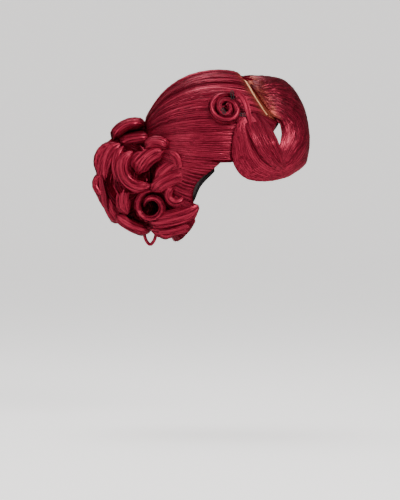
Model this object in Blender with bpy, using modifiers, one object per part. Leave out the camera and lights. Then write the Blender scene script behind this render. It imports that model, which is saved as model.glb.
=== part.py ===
"""Updo wig: an open wig cap, hair swept back from a slanted parting, a big front swoop,
a flat pin curl at the side and a chignon of separate pinned curls at the back.
Metres, +Z up, the face side towards -Y, the wearer's right towards -X.
The origin is the inner crown of the cap, where the wig sits on the head."""

import math

import bmesh
import bpy
from mathutils import Vector
from mathutils.bvhtree import BVHTree

# Head form, the inside of the cap: half sizes, and the two heights from its widest level
HALF_WIDTH = 0.077
HALF_LENGTH = 0.098
DOME_HEIGHT = 0.095
LOWER_HEIGHT = 0.215

# Walls, clearances and the depth of the hair
CAP_WALL = 0.0015
CAP_GAP = 0.0012
PIECE_GAP = 0.0004
SEAM_GAP = 0.0009
HAIR_DEPTH = 0.020
RIDGE_DEPTH = 0.0016
BAND_WIDTH = 0.007
BAND_WALL = 0.0018
LACE_WIDTH = 0.0065
LACE_WALL = 0.0009
PART_SLOT_WIDTH = 0.0086

# Front swoop, pin curl and pins
SWOOP_WALL = 0.008
TEMPLE_LOCK_WIDTH = 0.036
ROSETTE_RADIUS = 0.0285
ROSETTE_BAND = 0.0080
ROSETTE_HEIGHT = 0.017
PIN_DIAMETER = 0.0017
PIN_LENGTH = 0.016

# Chignon: place of its middle, half sizes over its curls, and the sizes of one curl
BUN_BACK = 0.124
BUN_DROP = 0.154
BUN_HALF_WIDTH = 0.075
BUN_HALF_LENGTH = 0.075
BUN_HALF_HEIGHT = 0.088
CORE_SHARE = 0.84
CURL_RADIUS = 0.030
LOCK_WIDTH = 0.019
STRAND_WIDTH = 0.0040

# Mesh steps, and the least share of a piece that one cut may leave
LEAST_KEPT = 0.3
WELD = 0.00002
LOCK_SIDES = 6
DEGREES_A_STEP = 42

CENTRE = Vector((0.0, 0.0, -DOME_HEIGHT))
BUN_CENTRE = Vector((0.0, BUN_BACK, -BUN_DROP))


# Clear the scene, then one collection for the wig and one for its cutters
for old in list(bpy.data.objects):
    bpy.data.objects.remove(old, do_unlink=True)
wig = bpy.data.collections.new("updo_wig")
cutters = bpy.data.collections.new("cutters")
cutters.hide_render = True
bpy.context.scene.collection.children.link(wig)
bpy.context.scene.collection.children.link(cutters)


def material(name, colour, roughness, metallic=0.0):
    """A plain Principled material."""
    made = bpy.data.materials.new(name)
    made.use_nodes = True
    shader = made.node_tree.nodes["Principled BSDF"]
    shader.inputs["Base Color"].default_value = (*colour, 1.0)
    shader.inputs["Roughness"].default_value = roughness
    shader.inputs["Metallic"].default_value = metallic
    made.diffuse_color = (*colour, 1.0)
    return made


def add_object(name, bm, look, home=wig):
    """Turn a bmesh into a smooth shaded object of its own."""
    mesh = bpy.data.meshes.new(name)
    bm.to_mesh(mesh)
    bm.free()
    mesh.polygons.foreach_set("use_smooth", [True] * len(mesh.polygons))
    mesh.materials.append(look)
    made = bpy.data.objects.new(name, mesh)
    home.objects.link(made)
    return made


def between(a, b, share):
    """The value that lies this share of the way from a to b."""
    return a + (b - a) * share


def table_slope(rows, i, column):
    """How steeply a column rises at a row, from the rows on both sides; flat at the ends."""
    if i == 0 or i == len(rows) - 1:
        return 0.0
    before, after = rows[i - 1], rows[i + 1]
    return (after[column] - before[column]) / (after[0] - before[0])


def from_table(rows, at, column=1):
    """Read a column between a table's rows on a smooth curve; the first column is the place."""
    if at <= rows[0][0]:
        return rows[0][column]
    for i, (low, high) in enumerate(zip(rows, rows[1:])):
        if at <= high[0]:
            step = high[0] - low[0]
            share = (at - low[0]) / step
            rest = 1 - share
            line = between(low[column], high[column], share * share * (3 - 2 * share))
            leave = table_slope(rows, i, column) * step * share * rest * rest
            arrive = table_slope(rows, i + 1, column) * step * share * share * rest
            return line + leave - arrive
    return rows[-1][column]


def form_point(heading, grow):
    """Point of the head form in this heading from its middle, grown outwards, and its normal."""
    height = DOME_HEIGHT if heading.z >= 0 else LOWER_HEIGHT
    sizes = (HALF_WIDTH, HALF_LENGTH, height)
    reach = 1 / math.sqrt(sum((heading[i] / sizes[i]) ** 2 for i in range(3)))
    place = heading * reach
    normal = Vector([place[i] / sizes[i] ** 2 for i in range(3)]).normalized()
    return CENTRE + place + normal * grow, normal


def round_point(turn, drop, grow):
    """Head form by compass turn from the face and by drop from the crown, in degrees."""
    around = math.radians(turn)
    down = math.radians(drop)
    heading = Vector(
        (
            math.sin(down) * math.sin(around),
            -math.sin(down) * math.cos(around),
            math.cos(down),
        )
    )
    return form_point(heading.normalized(), grow)


def sweep_point(turn, reach, grow):
    """Head form by turn round the root of the bun, 0 up, and by reach away from that root."""
    around = math.radians(turn)
    away = math.radians(reach)
    heading = Vector(
        (
            math.sin(away) * math.sin(around),
            math.cos(away),
            math.sin(away) * math.cos(around),
        )
    )
    return form_point(heading.normalized(), grow)


def mapped_grid(name, columns, rows, place, look):
    """A square grid bent to place(u, v), which gives a point and its share of the full wall."""
    bm = bmesh.new()
    bmesh.ops.create_grid(bm, x_segments=columns, y_segments=rows, size=1.0)
    shares = bm.verts.layers.deform.verify()
    for vert in bm.verts:
        spot, share = place((vert.co.x + 1) / 2, (vert.co.y + 1) / 2)
        vert.co = spot
        vert[shares][0] = share
    bmesh.ops.remove_doubles(bm, verts=bm.verts, dist=WELD)
    made = add_object(name, bm, look)
    made.vertex_groups.new(name="wall share")
    return made


def thicken(piece, wall):
    """Give an open surface its wall, outwards, scaled by the share held at each vertex."""
    shell = piece.modifiers.new("wall", "SOLIDIFY")
    shell.thickness = wall
    shell.offset = 1.0
    shell.use_rim = True
    shell.vertex_group = "wall share"
    piece.modifiers.new("triangles", "TRIANGULATE")


def evaluated_mesh(piece):
    """The mesh of a piece with its modifiers worked out, in triangles."""
    graph = bpy.context.evaluated_depsgraph_get()
    mesh = bpy.data.meshes.new_from_object(piece.evaluated_get(graph))
    bm = bmesh.new()
    bm.from_mesh(mesh)
    bmesh.ops.triangulate(bm, faces=bm.faces)
    bm.to_mesh(mesh)
    bm.free()
    return mesh


def bake(piece):
    """Replace a piece's mesh by its worked-out one and drop the modifiers."""
    mesh = evaluated_mesh(piece)
    piece.modifiers.clear()
    piece.data = mesh


def swollen_copy(piece, gap):
    """A cutter: the piece grown by a gap on every side."""
    mesh = evaluated_mesh(piece)
    normals = [vert.normal.copy() for vert in mesh.vertices]
    for vert, normal in zip(mesh.vertices, normals):
        vert.co += normal * gap
    copy = bpy.data.objects.new(piece.name + " room", mesh)
    cutters.objects.link(copy)
    return copy


def surface_tree(mesh):
    """A search tree over a mesh."""
    places = [vert.co.copy() for vert in mesh.vertices]
    return BVHTree.FromPolygons(places, [list(face.vertices) for face in mesh.polygons])


def keep_largest(piece):
    """Drop any scrap that a cut set loose, and keep the largest part."""
    bm = bmesh.new()
    bm.from_mesh(piece.data)
    left = set(bm.faces)
    parts = []
    while left:
        front = [left.pop()]
        part = list(front)
        while front:
            face = front.pop()
            for edge in face.edges:
                for other in edge.link_faces:
                    if other in left:
                        left.remove(other)
                        front.append(other)
                        part.append(other)
        parts.append(part)
    parts.sort(key=lambda part: sum(face.calc_area() for face in part))
    for part in parts[:-1]:
        bmesh.ops.delete(bm, geom=part, context="FACES")
    bm.to_mesh(piece.data)
    bmesh.ops.remove_doubles(bm, verts=bm.verts, dist=WELD)
    bmesh.ops.dissolve_degenerate(bm, edges=bm.edges, dist=WELD)
    if all(len(edge.link_faces) == 2 for edge in bm.edges):
        bm.to_mesh(piece.data)
    bm.free()


def volume_if_closed(mesh):
    """The volume inside a mesh, or nothing where an edge hasn't exactly two faces."""
    bm = bmesh.new()
    bm.from_mesh(mesh)
    closed = all(len(edge.link_faces) == 2 for edge in bm.edges)
    inside = bm.calc_volume() if closed else 0.0
    bm.free()
    return inside


def cut_with(piece, room):
    """Cut a piece with another; where the exact solver leaves an opening, use the other."""
    before = volume_if_closed(piece.data)
    cut = piece.modifiers.new("room", "BOOLEAN")
    cut.operation = "DIFFERENCE"
    cut.solver = "EXACT"
    cut.object = room
    if volume_if_closed(evaluated_mesh(piece)) < LEAST_KEPT * before:
        cut.solver = "MANIFOLD"
    bake(piece)


def make_room(piece, neighbours, gap=PIECE_GAP):
    """Cut a piece back so that it lies on its neighbours with a small gap."""
    for other in neighbours:
        room = swollen_copy(other, gap)
        if surface_tree(piece.data).overlap(surface_tree(room.data)):
            cut_with(piece, room)
        bpy.data.objects.remove(room, do_unlink=True)
    keep_largest(piece)


def loft(name, rings, look, home=wig):
    """A closed body through rings of equal length, its two ends closed flat."""
    bm = bmesh.new()
    verts = [[bm.verts.new(point) for point in ring] for ring in rings]
    sides = len(rings[0])
    for low, high in zip(verts, verts[1:]):
        for i in range(sides):
            j = (i + 1) % sides
            bm.faces.new((low[i], low[j], high[j], high[i]))
    bm.faces.new(list(reversed(verts[0])))
    bm.faces.new(verts[-1])
    bmesh.ops.recalc_face_normals(bm, faces=bm.faces)
    bmesh.ops.triangulate(bm, faces=bm.faces)
    return add_object(name, bm, look, home)


def lock_ring(middle, across, out, width, depth, sides=LOCK_SIDES):
    """An oval ring round a point of a lock's path."""
    ring = []
    for i in range(sides):
        angle = 2 * math.pi * (i + 0.5) / sides
        side = across * (math.cos(angle) * width / 2)
        ring.append(middle + side + out * (math.sin(angle) * depth / 2))
    return ring


# Looks: burgundy hair, black net and elastic, tan lace, dark pins
hair = material("burgundy_hair", (0.23, 0.012, 0.026), 0.42)
net = material("cap_net", (0.030, 0.022, 0.022), 0.85)
elastic = material("black_elastic", (0.012, 0.010, 0.010), 0.75)
lace = material("tan_lace", (0.70, 0.36, 0.19), 0.7)
pin_metal = material("dark_pin", (0.03, 0.027, 0.03), 0.35, 0.6)

# Wig cap: a thin dome, its edge by turn from the face; drop in degrees from the crown
CAP_EDGE = (
    (0, 66),
    (28, 80),
    (42, 94),
    (60, 110),
    (78, 114),
    (92, 114),
    (104, 122),
    (116, 130),
    (126, 139),
    (150, 142),
    (180, 143),
)


CAP_COLUMNS = 36
CAP_ROWS = 8


def cap_spot(u, v):
    turn = between(180, -180, u)
    drop = from_table(CAP_EDGE, abs(turn)) * v
    return round_point(turn, drop, 0)[0], 1.0


wig_cap = mapped_grid("wig_cap", CAP_COLUMNS, CAP_ROWS, cap_spot, net)
thicken(wig_cap, CAP_WALL)

# Nape band: elastic strip along the cap's edge from behind one ear round to the other
BAND_COLUMNS = 16
BAND_START = 180 * (1 - BAND_COLUMNS / CAP_COLUMNS)


def band_spot(u, v):
    turn = between(360 - BAND_START, BAND_START, u)
    side = turn if turn <= 180 else 360 - turn
    edge = from_table(CAP_EDGE, side)
    place, normal = round_point(turn, edge, 0)
    below, _ = round_point(turn, edge + 1, 0)
    down = (below - place).normalized()
    return place + down * (SEAM_GAP + BAND_WIDTH * v), 1.0


nape_band = mapped_grid("nape_band", BAND_COLUMNS, 2, band_spot, elastic)
thicken(nape_band, BAND_WALL)

# Crown hair: rays from the root of the bun to the hairline. Columns: turn round the root,
# reach of the hairline in degrees, share of that reach where the part of the front section lies
CROWN_SIDE = 113.5
ROOT_REACH = 8
HAIRLINE = (
    (0, 157, 0.69),
    (20, 156, 0.73),
    (32, 155, 0.79),
    (46, 153, 0.86),
    (59, 150, 0.94),
    (95, 139, 0.94),
    (113.5, 118, 0.94),
)
# Depth of the hair by reach from the root, over the crown and at the sides
CROWN_DEPTH = (
    (0, 0.80, 0.80),
    (15, 1.06, 0.85),
    (25, 0.94, 0.75),
    (42, 0.82, 0.62),
    (62, 0.66, 0.56),
    (84, 0.50, 0.46),
    (100, 0.44, 0.36),
    (120, 0.42, 0.30),
    (160, 0.36, 0.22),
)
# Grooves along the flow: turn, half width in degrees, depth as a share of the ridge depth
GROOVES = (
    (-104, 6, 1.7),
    (-86, 6, 1.2),
    (-70, 6, 1.5),
    (-52, 6, 1.1),
    (-33, 7, 1.6),
    (-14, 6, 1.0),
    (6, 7, 1.5),
    (26, 6, 1.1),
    (45, 7, 1.5),
    (66, 6, 1.2),
    (88, 7, 1.5),
    (106, 6, 1.1),
)
UNDER_SWOOP = 0.14
EDGE_SHARE = 0.12
CROWN_COLUMNS = 30
BACK_ROWS = 8
FRONT_ROWS = 5


def groove(turn):
    """How far the grooves sink the hair at this turn, in metres."""
    sunk = 0.0
    for middle, half, depth in GROOVES:
        off = abs(turn - middle) / half
        if off < 1:
            sunk += depth * (1 + math.cos(math.pi * off)) / 2
    return sunk * RIDGE_DEPTH


def crown_share(turn, reach, along, front_from):
    """Depth of the crown hair as a share of the full hair depth."""
    top = from_table(CROWN_DEPTH, reach, 1)
    side = from_table(CROWN_DEPTH, reach, 2)
    full = between(top, side, min(1, abs(turn) / 95) ** 2)
    full -= groove(turn) / HAIR_DEPTH * min(1, reach / 40)
    if along > front_from + 0.01 and abs(turn) < 57:
        full = UNDER_SWOOP
    taper = min(1, max(0, (1 - along) / 0.22))
    return max(EDGE_SHARE, full * math.sqrt(max(0, 1 - (1 - taper) ** 2)))


def crown_spot(u, v):
    turn = between(CROWN_SIDE, -CROWN_SIDE, u)
    side = abs(turn)
    line = from_table(HAIRLINE, side, 1)
    front_from = from_table(HAIRLINE, side, 2)
    if turn > 0:
        front_from = min(0.94, front_from * (1 + 0.10 * min(1, turn / 30)))
    row = round(v * (BACK_ROWS + FRONT_ROWS))
    if row <= BACK_ROWS:
        along = front_from * row / BACK_ROWS
    else:
        step = 0.04 * (1 - front_from) / 0.3
        ahead = (row - BACK_ROWS - 1) / (FRONT_ROWS - 1)
        along = between(front_from + step, 1, ahead)
    reach = ROOT_REACH + (line - ROOT_REACH) * along
    share = crown_share(turn, reach, along, front_from)
    return sweep_point(turn, reach, CAP_WALL + CAP_GAP)[0], share


crown_hair = mapped_grid("crown_hair", CROWN_COLUMNS, BACK_ROWS + FRONT_ROWS, crown_spot, hair)
thicken(crown_hair, HAIR_DEPTH)

# Nape hair: rays from the same root down to the lower edge of the hair
NAPE_LINE = (
    (113.5, 88),
    (121, 81),
    (130, 71),
    (138, 67),
    (146, 68),
    (152, 72),
    (158, 73),
    (166, 70),
    (180, 66),
)
# Depth by share of the way from the root to the lower edge
NAPE_DEPTH = (
    (0, 0.75),
    (0.35, 0.80),
    (0.65, 0.62),
    (0.85, 0.42),
    (1, 0.16),
)
NAPE_COLUMNS = 22
NAPE_ROWS = 6
NAPE_RIDGES = 6


def nape_spot(u, v):
    spread = 360 - 2 * CROWN_SIDE
    raw = CROWN_SIDE + spread * (1 - u)
    line = from_table(NAPE_LINE, raw if raw <= 180 else 360 - raw)
    reach = between(ROOT_REACH, line, v)
    seam = math.degrees(SEAM_GAP / (HALF_WIDTH * math.sin(math.radians(reach))))
    turn = CROWN_SIDE + seam + (spread - 2 * seam) * (1 - u)
    share = from_table(NAPE_DEPTH, v)
    ridge = math.cos(2 * math.pi * NAPE_RIDGES * u) * RIDGE_DEPTH / HAIR_DEPTH * 0.5
    share += ridge * math.sin(math.pi * v)
    return sweep_point(turn, reach, BAND_WALL + CAP_GAP)[0], max(EDGE_SHARE, share)


nape_hair = mapped_grid("nape_hair", NAPE_COLUMNS, NAPE_ROWS, nape_spot, hair)
thicken(nape_hair, HAIR_DEPTH)

# Front swoop. Columns, as shares of the head's half width, half length and dome height:
# inner edge x y z, outer edge x y z, bulge of the sheet, wall at the inner and the outer edge
SWOOP = (
    (-0.05, -0.35, 0.02, 0.39, -0.29, 0.02, 0.06, 0.75, 0.75),
    (-0.49, -0.48, -0.18, 0.55, -0.51, -0.17, 0.22, 0.88, 0.88),
    (-0.64, -0.61, -0.40, 0.62, -0.73, -0.40, 0.44, 1.00, 1.00),
    (-0.66, -0.76, -0.60, 0.54, -0.94, -0.66, 0.42, 1.00, 1.00),
    (-0.62, -0.91, -0.72, 0.34, -1.14, -0.95, 0.29, 1.00, 1.12),
    (-0.65, -0.93, -0.89, 0.06, -1.28, -1.18, 0.21, 1.00, 1.25),
    (-0.68, -0.89, -1.07, -0.26, -1.29, -1.37, 0.14, 1.00, 1.50),
    (-0.75, -0.88, -1.20, -0.55, -1.16, -1.49, 0.11, 1.00, 1.75),
    (-0.83, -0.89, -1.27, -0.78, -0.97, -1.59, 0.09, 1.00, 1.88),
    (-0.94, -0.84, -1.24, -0.99, -0.71, -1.65, 0.08, 0.88, 1.88),
    (-1.00, -0.82, -1.12, -1.09, -0.46, -1.65, 0.07, 0.88, 1.75),
    (-1.04, -0.80, -1.00, -1.14, -0.28, -1.57, 0.07, 0.88, 1.50),
    (-1.04, -0.73, -0.88, -1.17, -0.16, -1.37, 0.06, 0.88, 1.25),
    (-1.04, -0.63, -0.78, -1.17, -0.14, -1.11, 0.05, 0.88, 1.12),
    (-1.04, -0.51, -0.69, -1.16, -0.18, -0.86, 0.04, 0.75, 1.00),
    (-1.06, -0.43, -0.61, -1.12, -0.25, -0.68, 0.03, 0.62, 0.62),
)
SWOOP_SIDES = 12


def head_place(x, y, z):
    """A place given as shares of the head's half width, half length and dome height."""
    return Vector((x * HALF_WIDTH, y * HALF_LENGTH, z * DOME_HEIGHT))


def swoop_ring(row):
    """One section of the swoop: a curved sheet from its inner to its outer edge."""
    inner = head_place(*row[0:3])
    outer = head_place(*row[3:6])
    bulge = row[6] * HALF_LENGTH
    chord = outer - inner
    away = (inner + outer) / 2 - CENTRE
    away = (away - chord.normalized() * away.dot(chord.normalized())).normalized()
    ring = []
    for i in range(SWOOP_SIDES):
        angle = 2 * math.pi * (i + 0.5) / SWOOP_SIDES
        across = (1 - math.cos(angle)) / 2
        wall = between(row[7], row[8], across) * SWOOP_WALL
        lift = math.copysign(abs(math.sin(angle)) ** 0.7, math.sin(angle)) / 2
        spot = inner + chord * across + away * (bulge * math.sin(math.pi * across))
        slope = chord + away * (bulge * math.pi * math.cos(math.pi * across))
        normal = (away * chord.dot(slope) - chord * away.dot(slope)).normalized()
        ring.append(spot + normal * (lift * wall))
    return ring


front_swoop = loft("front_swoop", [swoop_ring(row) for row in SWOOP], hair)
make_room(front_swoop, [crown_hair], 2 * PIECE_GAP)

# Temple lock: from the lower end of the parting over the back arm of the swoop.
# Columns: x y z as shares of the head sizes, width and thickness as shares of the lock
TEMPLE_LOCK = (
    (-0.70, -0.33, -0.44, 0.50, 0.50),
    (-0.90, -0.44, -0.60, 0.95, 0.90),
    (-1.09, -0.55, -0.80, 1.20, 1.00),
    (-1.21, -0.65, -1.02, 1.15, 1.00),
    (-1.21, -0.75, -1.20, 0.95, 0.90),
    (-1.12, -0.85, -1.36, 0.65, 0.80),
    (-0.98, -0.95, -1.47, 0.30, 0.50),
)


def lock_along(name, rows, width, thickness, outward, look):
    """A flat lock through the places of a table; outward gives its face at a place."""
    places = [head_place(*row[0:3]) for row in rows]
    rings = []
    for i, row in enumerate(rows):
        ahead = places[min(i + 1, len(rows) - 1)] - places[max(i - 1, 0)]
        ahead.normalize()
        out = outward(places[i])
        out = (out - ahead * out.dot(ahead)).normalized()
        across = ahead.cross(out)
        rings.append(
            lock_ring(places[i], across, out, width * row[3], thickness * row[4])
        )
    return loft(name, rings, look)


temple_lock = lock_along(
    "temple_lock",
    TEMPLE_LOCK,
    TEMPLE_LOCK_WIDTH,
    SWOOP_WALL,
    lambda place: place - CENTRE,
    hair,
)
make_room(temple_lock, [crown_hair, front_swoop])

# Parting: a slot through the thin front layer, and the lace strip that shows in it.
# Columns: turn round the root, reach from it, both in degrees
PART_LINE = (
    (8, 109.0),
    (-8, 111.5),
    (-22, 116.0),
    (-35, 123.0),
    (-47, 132.0),
    (-57, 139.5),
)


def part_path(width, low, high, short):
    """Rings of a strip along the parting, between two heights over the head form."""
    rings = []
    steps = 4 * (len(PART_LINE) - 1)
    spots = []
    for i in range(steps + 1):
        share = between(short, 1 - short, i / steps)
        turn = between(PART_LINE[0][0], PART_LINE[-1][0], share)
        table = [(-row[0], row[1]) for row in PART_LINE]
        spots.append((turn, from_table(table, -turn)))
    for i, (turn, reach) in enumerate(spots):
        before = sweep_point(*spots[max(0, i - 1)], low)[0]
        after = sweep_point(*spots[min(steps, i + 1)], low)[0]
        _, normal = sweep_point(turn, reach, low)
        across = normal.cross((after - before).normalized()) * (width / 2)
        base = sweep_point(turn, reach, low)[0]
        top = sweep_point(turn, reach, high)[0]
        rings.append([base - across, base + across, top + across, top - across])
    return rings


parting_slot = loft(
    "parting_slot",
    part_path(PART_SLOT_WIDTH, 0, CAP_WALL + CAP_GAP + HAIR_DEPTH, 0),
    net,
    cutters,
)
parting_slot.hide_render = True
parting_slot.display_type = "WIRE"
slot = crown_hair.modifiers.new("parting slot", "BOOLEAN")
slot.operation = "DIFFERENCE"
slot.solver = "EXACT"
slot.object = parting_slot
LACE_LOW = CAP_WALL + PIECE_GAP
LACE_SHORT = 0.06
parting_lace = loft(
    "parting_lace",
    part_path(LACE_WIDTH, LACE_LOW, LACE_LOW + LACE_WALL, LACE_SHORT),
    lace,
)

# Rosette: a flat pin curl wound inwards on the side of the crown
ROSETTE_TURN = -60.5
ROSETTE_REACH = 93.5
ROSETTE_GROW = 0.0130
ROSETTE_SWEEP = 790
ROSETTE_STEPS = 28
rosette_base, rosette_out = sweep_point(ROSETTE_TURN, ROSETTE_REACH, ROSETTE_GROW)
rosette_back = Vector((0, 1, 0))
rosette_back = (rosette_back - rosette_out * rosette_back.dot(rosette_out)).normalized()
rosette_up = rosette_back.cross(rosette_out)
if rosette_up.z < 0:
    rosette_up.negate()
rosette_rings = []
for step in range(ROSETTE_STEPS + 1):
    share = step / ROSETTE_STEPS
    angle = math.radians(125 - ROSETTE_SWEEP * share)
    radius = between(ROSETTE_RADIUS - ROSETTE_BAND / 2, ROSETTE_BAND * 0.35, share)
    spoke = rosette_back * math.cos(angle) + rosette_up * math.sin(angle)
    height = ROSETTE_HEIGHT * between(0.80, 1.0, share)
    middle = rosette_base + spoke * radius + rosette_out * (height / 2 - 0.25 * ROSETTE_HEIGHT)
    end = min(1, 0.35 + 6 * min(share, 1 - share))
    rosette_rings.append(
        lock_ring(middle, spoke, rosette_out, ROSETTE_BAND * end, height, 6)
    )
rosette_curl = loft("rosette_curl", rosette_rings, hair)
make_room(rosette_curl, [crown_hair, front_swoop])

# Room for the head, the cap and the hair next to it, which no curl may enter
bm = bmesh.new()
bmesh.ops.create_uvsphere(bm, u_segments=32, v_segments=24, radius=1.0)
for vert in bm.verts:
    vert.co = form_point(vert.co.normalized(), CAP_WALL + CAP_GAP + HAIR_DEPTH / 3)[0]
head_room = add_object("head room", bm, net, cutters)
head_room.hide_render = True

# Chignon curls. Each is a lock on an arc. Columns: name; middle of the arc x y z as shares of
# the bun's half sizes; start and end radius as shares of the curl radius; start and sweep in
# degrees, 0 to the back and 90 up; width in the plane of the arc and depth across it as
# shares of the lock width; turn of the plane to the back in degrees; drift across as a share
# of the curl radius; flattening of the arc in height
CURLS = (
    ("curl_top_roll", -0.06, 0.15, 0.52, 1.31, 1.15, 118, -98, 0.98, 3.60, 0, 0.00, 1.00),
    ("curl_top_roll_low", -0.08, 0.05, -0.41, 3.27, 3.12, 103, -34, 1.16, 3.40, 0, 0.00, 1.00),
    ("curl_big_c", -0.75, -0.01, 0.19, 0.92, 1.03, 58, -178, 1.03, 1.20, 8, 0.00, 1.00),
    ("curl_ring", -0.72, -0.22, -0.49, 0.85, 0.36, 120, -480, 0.49, 1.27, 6, 0.10, 1.00),
    ("lock_diagonal", -0.81, -0.59, -0.12, 1.82, 1.75, 80, -60, 1.33, 1.00, 4, -0.15, 1.00),
    ("lock_root_high", -0.83, -0.32, 0.40, 0.67, 0.67, 146, -110, 0.92, 0.93, 4, 0.00, 1.00),
    ("lock_root_low", -0.88, -1.00, -0.91, 2.87, 2.80, 88, -41, 1.23, 0.93, 4, 0.00, 1.00),
    ("lock_middle", -0.85, -1.00, -0.82, 3.34, 2.98, 86, -32, 0.92, 0.93, 4, 0.00, 1.00),
    ("lock_upright", -0.57, 0.05, 0.11, 1.72, 1.77, 55, -72, 1.33, 1.00, 10, 0.00, 1.00),
    ("lock_bright", -0.67, 0.01, 0.21, 1.31, 1.21, 47, -97, 0.77, 0.87, 8, 0.00, 1.00),
    ("curl_heart", -0.63, 0.01, 0.23, 0.56, 0.41, 140, -170, 0.62, 0.87, 0, 0.00, 1.00),
    ("curl_back_loop_high", -0.40, 0.57, 0.23, 1.06, 0.41, 104, -200, 0.82, 1.67, 18, 0.00, 1.00),
    ("curl_back_loop_low", -0.37, 0.71, -0.11, 0.46, 0.41, 100, -205, 0.82, 1.67, 22, 0.00, 1.00),
    ("curl_small_ear_side", -1.01, -0.48, 0.21, 0.73, 0.72, 114, 74, 0.67, 0.60, 0, 0.00, 1.00),
    ("curl_nape_small", -0.80, -0.71, -0.28, 0.41, 0.39, 190, 250, 0.67, 0.87, 0, 0.00, 1.00),
    ("lock_nape_sweep", -0.75, -0.75, 0.66, 3.54, 4.31, 253, 37, 1.44, 1.00, 4, 0.00, 1.00),
    ("lock_nape_under", -0.59, -0.75, 0.49, 3.70, 4.26, 257, 31, 1.23, 1.00, 0, 0.00, 1.00),
    ("lock_back_low", -0.43, 0.07, -0.33, 1.39, 1.44, 26, -80, 1.30, 1.28, 12, 0.00, 1.00),
    ("lock_low_inner", -0.62, -0.12, -0.38, 1.20, 1.23, 62, -96, 1.23, 1.00, 8, 0.00, 1.00),
    ("lock_bottom", -0.47, -0.38, 0.14, 3.18, 3.18, -46, -34, 0.92, 1.20, 0, 0.00, 1.00),
    ("lock_underside", -0.13, -0.07, -0.12, 2.05, 2.05, -60, -42, 1.23, 1.73, 0, 0.00, 1.00),
    ("tail_curl", -0.59, -0.50, -0.89, 0.36, 0.31, 130, 290, 0.51, 0.67, 0, 0.00, 1.00),
    ("curl_left_top", 0.45, 0.13, 0.68, 1.03, 0.26, 170, -300, 0.72, 1.47, 0, 0.00, 0.62),
    ("curl_left_big", 0.72, 0.01, 0.21, 0.92, 0.98, 64, -185, 1.03, 1.33, 8, 0.00, 1.00),
    ("curl_left_ring", 0.69, -0.17, -0.49, 0.85, 0.36, 100, -470, 0.49, 1.33, 6, 0.10, 1.00),
    ("curl_left_loop", 0.37, 0.59, 0.18, 1.02, 0.41, 106, -200, 0.82, 1.67, 18, 0.00, 1.00),
    ("curl_left_loop_low", 0.36, 0.69, -0.19, 0.46, 0.41, 100, -205, 0.82, 1.67, 22, 0.00, 1.00),
    ("lock_left_upright", 0.56, 0.05, 0.12, 1.70, 1.76, 54, -71, 1.30, 1.10, 10, 0.00, 1.00),
    ("lock_left_diagonal", 0.80, -0.59, -0.09, 1.82, 1.75, 86, -66, 1.44, 1.13, 4, -0.15, 1.00),
    ("lock_left_root", 0.84, -1.00, -0.88, 2.98, 2.82, 88, -41, 1.44, 1.07, 4, 0.00, 1.00),
    ("lock_left_nape", 0.72, -0.75, 0.63, 3.54, 4.31, 253, 37, 1.54, 1.13, 4, 0.00, 1.00),
    ("lock_left_nape_under", 0.56, -0.75, 0.49, 3.70, 4.26, 257, 31, 1.23, 1.07, 0, 0.00, 1.00),
    ("lock_left_back_low", 0.44, 0.07, -0.37, 1.39, 1.44, 22, -76, 1.33, 1.22, 12, 0.00, 1.00),
    ("lock_left_inner", 0.59, -0.12, -0.40, 1.20, 1.23, 60, -92, 1.23, 1.07, 8, 0.00, 1.00),
    ("curl_back_high", 0.00, 0.42, 0.30, 1.08, 0.46, 112, -210, 0.92, 1.73, 0, 0.00, 1.00),
    ("curl_back_low", 0.00, 0.41, -0.32, 1.11, 0.46, 72, -200, 1.03, 1.58, 0, 0.00, 1.00),
)


def curl(name, x, y, z, near, far, start, sweep, width, depth, turn, drift, flat):
    """A lock on an arc; on the left of the wig its plane is mirrored."""
    hand = -1 if x > 0 else 1
    swing = math.radians(turn)
    axis = Vector((-hand * math.cos(swing), math.sin(swing), 0))
    back = Vector((hand * math.sin(swing), math.cos(swing), 0))
    up = Vector((0, 0, 1))
    middle = BUN_CENTRE + Vector(
        (x * BUN_HALF_WIDTH, y * BUN_HALF_LENGTH, z * BUN_HALF_HEIGHT)
    )
    steps = max(5, round(abs(sweep) / DEGREES_A_STEP))
    rings = []
    for i in range(steps + 1):
        share = i / steps
        angle = math.radians(start + sweep * share)
        spoke = back * math.cos(angle) + up * math.sin(angle)
        radius = between(near, far, share) * CURL_RADIUS
        spot = middle + spoke * radius + axis * (drift * CURL_RADIUS * share)
        spot.z = middle.z + (spot.z - middle.z) * flat
        end = min(1, 0.45 + 3.5 * min(share, 1 - share))
        rings.append(
            lock_ring(
                spot, spoke, axis, width * LOCK_WIDTH * end, depth * LOCK_WIDTH * end
            )
        )
    return loft(name, rings, hair)


curls = []
for row in CURLS:
    piece = curl(*row)
    make_room(piece, [head_room, crown_hair, nape_hair] + curls)
    curls.append(piece)

# Chignon core: the wound ball under the curls, pressed in wherever one of them lies on it
CORE_COLUMNS = 16
CORE_ROWS = 10
CORE_REST = 0.0026
CORE_SMOOTHING = 4
core_middle = BUN_CENTRE + Vector((0, BUN_HALF_LENGTH * 0.12, 0))
core_sizes = Vector((BUN_HALF_WIDTH, BUN_HALF_LENGTH, BUN_HALF_HEIGHT)) * CORE_SHARE
around_core = [crown_hair, nape_hair] + curls
core_trees = [surface_tree(evaluated_mesh(piece)) for piece in around_core]
bm = bmesh.new()
bmesh.ops.create_uvsphere(bm, u_segments=CORE_COLUMNS, v_segments=CORE_ROWS, radius=1.0)
spokes = [(vert.co * core_sizes).copy() for vert in bm.verts]
lengths = []
for spoke in spokes:
    length = spoke.length
    for tree in core_trees:
        hit = tree.ray_cast(core_middle, spoke.normalized(), length + CORE_REST)
        if hit[0] is not None:
            length = min(length, hit[3] - CORE_REST)
    lengths.append(length)
bm.verts.index_update()
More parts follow.
